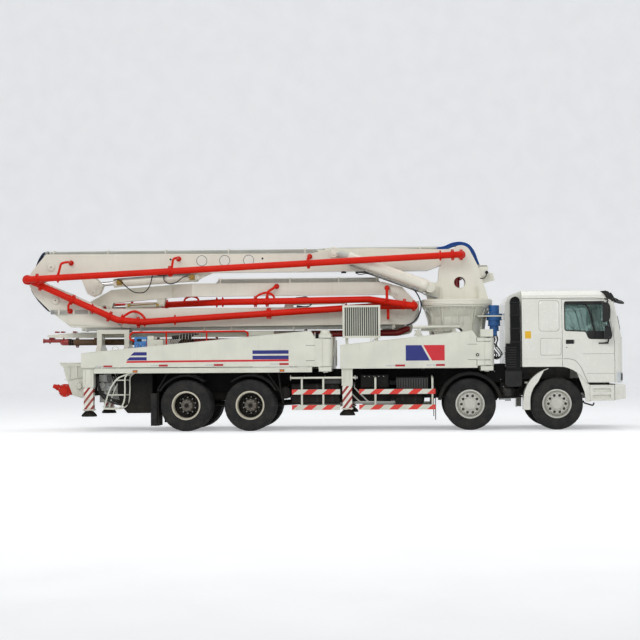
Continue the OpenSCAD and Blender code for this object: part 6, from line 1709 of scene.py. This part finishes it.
# Black block behind the rear ladder that paints the shade there
s.prism([(-4.24, 1.22), (-4.02, 1.22), (-4.02, 0.56), (-4.12, 0.56), (-4.20, 0.66), (-4.24, 0.80)], -0.98, -0.60, 0)
for x, z, r in ((-0.665, 0.80, 0.13), (2.44, 0.78, 0.12)):
    s.lathe([(TIP, -1.09), (0.05, -1.085), (r - 0.02, -1.06), (r, -1.02), (r, -0.52), (r - 0.02, -0.48),
             (TIP, -0.46)], (x, 0, z), "y", 32)
s.mirrored()
s.obj("chassis_boxes", [BLACK, TYRE, SHADE, PUMPGREY], "root", "black_paint", bevel=0.004, seg=2)

# Between the steered axles: brackets, damper, steering gear, air lines
s = Shape()
s.prism([(3.52, 1.10), (3.60, 1.30), (3.72, 1.37), (4.02, 1.385), (4.20, 1.30), (4.27, 1.12), (4.27, 0.98),
         (3.95, 0.96), (3.72, 1.0)], -0.86, -0.46)
s.prism([(3.84, 0.98), (4.10, 0.98), (4.14, 0.80), (4.05, 0.66), (3.90, 0.66), (3.84, 0.80)], -1.02, -0.74)
s.prism([(3.66, 1.0), (3.76, 1.0), (3.84, 0.70), (3.78, 0.60), (3.70, 0.62)], -0.62, -0.47)
s.lathe([(TIP, -1.10), (0.07, -1.09), (0.105, -1.06), (0.115, -1.02), (0.115, -0.62), (0.105, -0.58), (TIP, -0.57)],
        (3.98, 0, 0.80), "y", 32, 1)
s.lathe([(0.06, -1.02), (0.075, -1.02), (0.075, -0.70), (TIP, -0.69)], (4.17, 0, 0.90), "y", 24)
s.tube([(3.60, -0.60, 1.28), (3.50, -0.52, 0.62)], 0.045, 18)
s.tube([(3.535, -0.548, 0.84), (3.49, -0.512, 0.55)], 0.034, 18, 2)
s.box((3.82, -1.03, 0.625), (4.04, -0.78, 0.655), 3)
s.box((3.94, -0.98, 0.60), (4.06, -0.90, 0.69), 3)
for k in range(5):
    y = -0.50 - 0.07 * k
    s.tube(curve([(3.56 + 0.05 * k, y, 1.34), (3.70 + 0.05 * k, y - 0.06, 1.20 - 0.02 * k),
                  (3.86 + 0.04 * k, y - 0.08, 1.14), (4.08, y - 0.03, 1.22 + 0.02 * k)], 6), 0.011, 8, 1)
s.tube([(3.98, -0.90, 1.17), (4.08, -0.90, 1.245)], 0.018, 12, 3)
s.tube([(4.09, -0.90, 1.25), (4.15, -0.90, 1.29)], 0.026, 12, 3)
for x, z in ((3.73, 1.22), (3.86, 1.05), (4.16, 1.16), (3.90, 0.90), (3.96, 0.74)):
    s.bolt((x, -1.021 if z < 1.0 else -0.861, z), (0, -1, 0), 0.014, 0.012, 3)
s.mirrored()
s.obj("steering_brackets", [BLACK, HOSEBLACK, GREY, ZINC], "root", "black_paint", bevel=0.004, seg=2)

# Bellows, ribs and clamps of the intake on the cab's back
s = Shape()
for k in range(9):
    z = 1.30 + 0.05 * k
    s.box((3.945, -1.215, z), (4.170, -0.95, z + 0.028))
for z in (1.82, 2.10, 2.38, 2.64):
    s.box((4.045, -1.209, z), (4.255, -0.99, z + 0.022))
for k in range(7):
    s.box((4.062 + 0.026 * k, -1.207, 2.42), (4.074 + 0.026 * k, -1.199, 2.62))
s.prism([(3.93, 1.24), (4.28, 1.24), (4.28, 0.93), (4.20, 0.90), (3.99, 0.90), (3.93, 0.96)], -1.155, -1.149, 0)
s.obj("intake_ribs", [PLASTIC], "root", "black_paint", bevel=0.004)

# Concrete valve housing, its hoses and accumulators behind the rear legs
s = Shape()
for x in (-4.52, -4.28):
    s.lathe([(TIP, -0.30), (0.06, -0.29), (0.085, -0.26), (0.09, -0.22), (0.09, 0.20), (0.085, 0.24), (TIP, 0.26)],
            (x, -0.62, 1.04), "z", 28, 2)
s.box((-4.72, -0.78, 0.86), (-4.16, -0.40, 1.02), 2)
s.box((-4.66, -0.84, 1.05), (-4.50, -0.74, 1.20), 2)
s.box((-4.40, -0.84, 0.98), (-4.22, -0.72, 1.16), 2)
s.lathe([(TIP, -0.86), (0.05, -0.86), (0.055, -0.84), (0.055, -0.70)], (-4.44, 0, 0.92), "y", 24, 1)
s.lathe([(TIP, -0.84), (0.06, -0.84), (0.065, -0.82), (0.065, -0.70)], (-4.60, 0, 0.98), "y", 24, 2)
s.box((-4.74, -0.42, 0.60), (-4.30, 0.42, 0.86), 2)
for k, (a, w) in enumerate(((-0.93, 0.0), (-0.87, 0.035), (-0.99, 0.07))):
    s.tube(curve([(-4.70 + 0.02 * k, a, 1.16), (-4.68 + 0.02 * k, a, 0.98 - w), (-4.58, a, 0.82 - w),
                  (-4.44, a, 0.72 - w), (-4.30, a, 0.66 - w), (-4.12, a + 0.08, 0.62 - w)], 7), 0.021, 14, 0)
for k in range(3):
    s.tube(curve([(-4.40 + 0.05 * k, -0.80, 1.22), (-4.36 + 0.05 * k, -0.88, 1.10), (-4.30 + 0.04 * k, -0.86, 0.98),
                  (-4.24, -0.76, 0.92)], 6), 0.014, 10)
s.mirrored()
s.obj("valve_block_hoses", [HOSEBLACK, ZINC, PUMPGREY], "root", bevel=0.004, seg=2)

# Hopper: pressed rim, flange, stiffeners, outlet elbow with hinged cover, lamps
s = Shape()
side = lambda z: -5.40 - (z - 1.15) * 0.29 if z > 1.15 else -5.25 - (z - 0.76) * 0.385
for q in (-1, 1):
    s.tube([(-5.525, q * (HOP_Y + 0.022), 1.452), (-4.96, q * (HOP_Y + 0.022), 1.452)], 0.014, 10)
    s.prism([(-5.425, 1.085), (-4.965, 1.160), (-4.965, 1.178), (-5.430, 1.103)],
            *span(q, HOP_Y - 0.001, HOP_Y + 0.035), 0)
    for x in (-5.32, -5.16):
        s.prism(rect(x, x + 0.014, 1.13, 1.41), *span(q, HOP_Y - 0.001, HOP_Y + 0.026), 0)
    s.lathe([(0.085, q * (HOP_Y + 0.001)), (0.085, q * (HOP_Y + 0.020)), (0.060, q * (HOP_Y + 0.022)),
             (0.052, q * (HOP_Y + 0.055)), (TIP, q * (HOP_Y + 0.056))], (-5.10, 0, SHAFT_Z), "y", 32, 0)
    s.bolts((-5.10, q * (HOP_Y + 0.020), SHAFT_Z), 0.072, 8, (0, q, 0), 0.009, 0.008, 1)
s.tube([(-5.527, -HOP_Y - 0.02, 1.452), (-5.527, HOP_Y + 0.02, 1.452)], 0.014, 10)
for y in (-0.6, -0.3, 0.3, 0.6):
    s.prism([(side(1.38) - 0.028, 1.38), (side(1.38) + 0.01, 1.38), (side(0.85) + 0.01, 0.85),
             (side(0.85) - 0.006, 0.85), (side(1.15) - 0.028, 1.15)], y - 0.006, y + 0.006, 0)
s.obj("hopper_fittings", [CREAM, ZINC], "root", bevel=0.0015)
s = Shape()
p = fillet([(-5.19, 0, 0.862), (-5.50, 0, 0.862), (-5.545, -0.24, 0.858)], 0.13, 8)
s.tube(p, 0.102, 28)
for a, b, r in ((p[0], (-5.165, 0, 0.862), 0.14), ((-5.235, 0, 0.862), (-5.212, 0, 0.862), 0.14),
                ((-5.535, -0.185, 0.858), (-5.540, -0.212, 0.858), 0.142),
                ((-5.541, -0.218, 0.858), (-5.546, -0.245, 0.858), 0.142),
                ((-5.546, -0.245, 0.858), (-5.549, -0.262, 0.858), 0.080)):
    s.tube([a, b], r, 36)
s.bolts((-5.546, -0.245, 0.858), 0.118, 8, (0, -1, 0), 0.012, 0.012, 1, pi / 8)
s.tube([(-5.60, -0.12, 0.875), (-5.72, -0.12, 0.925), (-5.82, -0.12, 0.955)], [0.085, 0.060, 0.042], 20)
s.tube([(-5.715, -0.12, 0.923), (-5.735, -0.12, 0.930)], 0.070, 20)
s.prism([(-5.57, 0.95), (-5.46, 1.01), (-5.36, 1.01), (-5.34, 0.95)], -0.19, -0.06)
s.obj("outlet_elbow", [RED, ZINC], "root", "red_paint", bevel=0.002)
s = Shape()
for q in (-1, 1):
    a, b = span(q, 0.66, 0.92)
    s.box((RAIL_BACK - 0.050, a, 0.790), (RAIL_BACK - 0.020, b, 0.890))
    for i, k in enumerate((1, 1, 2)):
        c, e = span(q, 0.67 + 0.083 * i, 0.745 + 0.083 * i)
        s.box((RAIL_BACK - 0.058, c, 0.80), (RAIL_BACK - 0.049, e, 0.88), k)
s.obj("rear_lamps", [BLACK, LAMPRED, AMBER], "root", "black_paint", bevel=0.003, seg=2)

# Corner plates of the front fold joints
s = Shape()
for h in (0.183, 3.556):
    for z0, z1 in ((1.238, 1.336), (1.938, 2.10 if h > 1 else 2.018)):
        s.box((h - 0.131, -1.232, z0), (h + 0.131, -1.05, z1))
        s.box((h - 0.131, -1.236, z0), (h + 0.131, -1.230, z0 + 0.012), 1)
s.mirrored()
s.obj("fold_joint_plates", [CREAM, GREY], "root", bevel=0.004, seg=2)


# Light, floor, camera
def world():
    w = bpy.data.worlds.new("studio")
    bpy.context.scene.world = w
    w.use_nodes = True
    t = w.node_tree
    bg = t.nodes["Background"]
    bg.inputs[0].default_value = (*lin(236, 238, 240), 1)
    bg.inputs[1].default_value = 0.62


world()


def sheet_floor():
    m = Nodes("studio_floor")
    c = m.mix(m.remap(m.noise(1.2, 4), 0.35, 0.65), lin(226, 227, 228), lin(232, 233, 234))
    m.link(c, m.bsdf.inputs["Base Color"])
    m.link(m.remap(m.noise(3, 3), 0.3, 0.7, 0.7, 0.85), m.bsdf.inputs["Roughness"])
    seen = m.add("ShaderNodeLightPath").outputs
    a = m.math("ADD", seen["Is Camera Ray"], seen["Is Glossy Ray"], True)
    a = m.math("ADD", a, seen["Is Transmission Ray"], True)
    m.link(m.math("MULTIPLY", a, 0.36), m.bsdf.inputs["Emission Strength"])
    m.bsdf.inputs["Emission Color"].default_value = (0.97, 0.98, 1.0, 1)
    me = bpy.data.meshes.new("floor")
    near, back, bend, top, side, n = -60, 34, 10, 60, 90, 14
    rise = [(back + bend * sin(pi / 2 * i / n), bend - bend * cos(pi / 2 * i / n)) for i in range(1, n + 1)]
    prof = [(near, 0), (back, 0)] + rise + [(back + bend, top)]
    v = [(x, y, z) for y, z in prof for x in (-side, side)]
    f = [(2 * i, 2 * i + 1, 2 * i + 3, 2 * i + 2) for i in range(len(prof) - 1)]
    me.from_pydata(v, [], f)
    me.materials.append(m.mat)
    for p in me.polygons:
        p.use_smooth = True
    o = bpy.data.objects.new("floor", me)
    bpy.context.scene.collection.objects.link(o)


sheet_floor()


def area(name, loc, target, size, power, rgb=(1, 1, 1)):
    d = bpy.data.lights.new(name, "AREA")
    d.shape = "RECTANGLE"
    d.size, d.size_y = size
    d.energy = power
    d.color = rgb
    o = bpy.data.objects.new(name, d)
    o.location = loc
    o.rotation_euler = (Vector(target) - Vector(loc)).to_track_quat("-Z", "Y").to_euler()
    bpy.context.scene.collection.objects.link(o)


area("key", (-6, -18, 14), (0, 0, 1.5), (16, 8), 1500, (1.0, 0.99, 0.97))
area("fill", (14, -16, 7), (1, 0, 1.5), (12, 6), 500)
area("top", (0, 2, 16), (0, 0, 0), (20, 8), 700)


PHOTO, FILM = 640, 36  # width of the photo in pixels and of the camera's sensor in mm


def camera(loc, yaw, pitch, roll, focal):
    """Camera at loc, turned by yaw, pitch and roll; focal length in pixels of the photo"""
    f = Vector((sin(yaw) * cos(pitch), cos(yaw) * cos(pitch), sin(pitch)))
    r0 = Vector((cos(yaw), -sin(yaw), 0))
    u0 = r0.cross(f)
    r = r0 * cos(roll) + u0 * sin(roll)
    u = u0 * cos(roll) - r0 * sin(roll)
    d = bpy.data.cameras.new("photo_camera")
    d.sensor_width = FILM
    d.lens = focal / PHOTO * FILM
    d.clip_end = 400
    o = bpy.data.objects.new("photo_camera", d)
    o.matrix_world = Matrix(((r.x, u.x, -f.x, loc[0]), (r.y, u.y, -f.y, loc[1]), (r.z, u.z, -f.z, loc[2]),
            (0, 0, 0, 1)))
    bpy.context.scene.collection.objects.link(o)
    bpy.context.scene.camera = o


camera((1.838, -33.11, 1.459), -0.05497, 0.02694, -0.0068, 1526)
bpy.context.scene.view_settings.view_transform = "Standard"
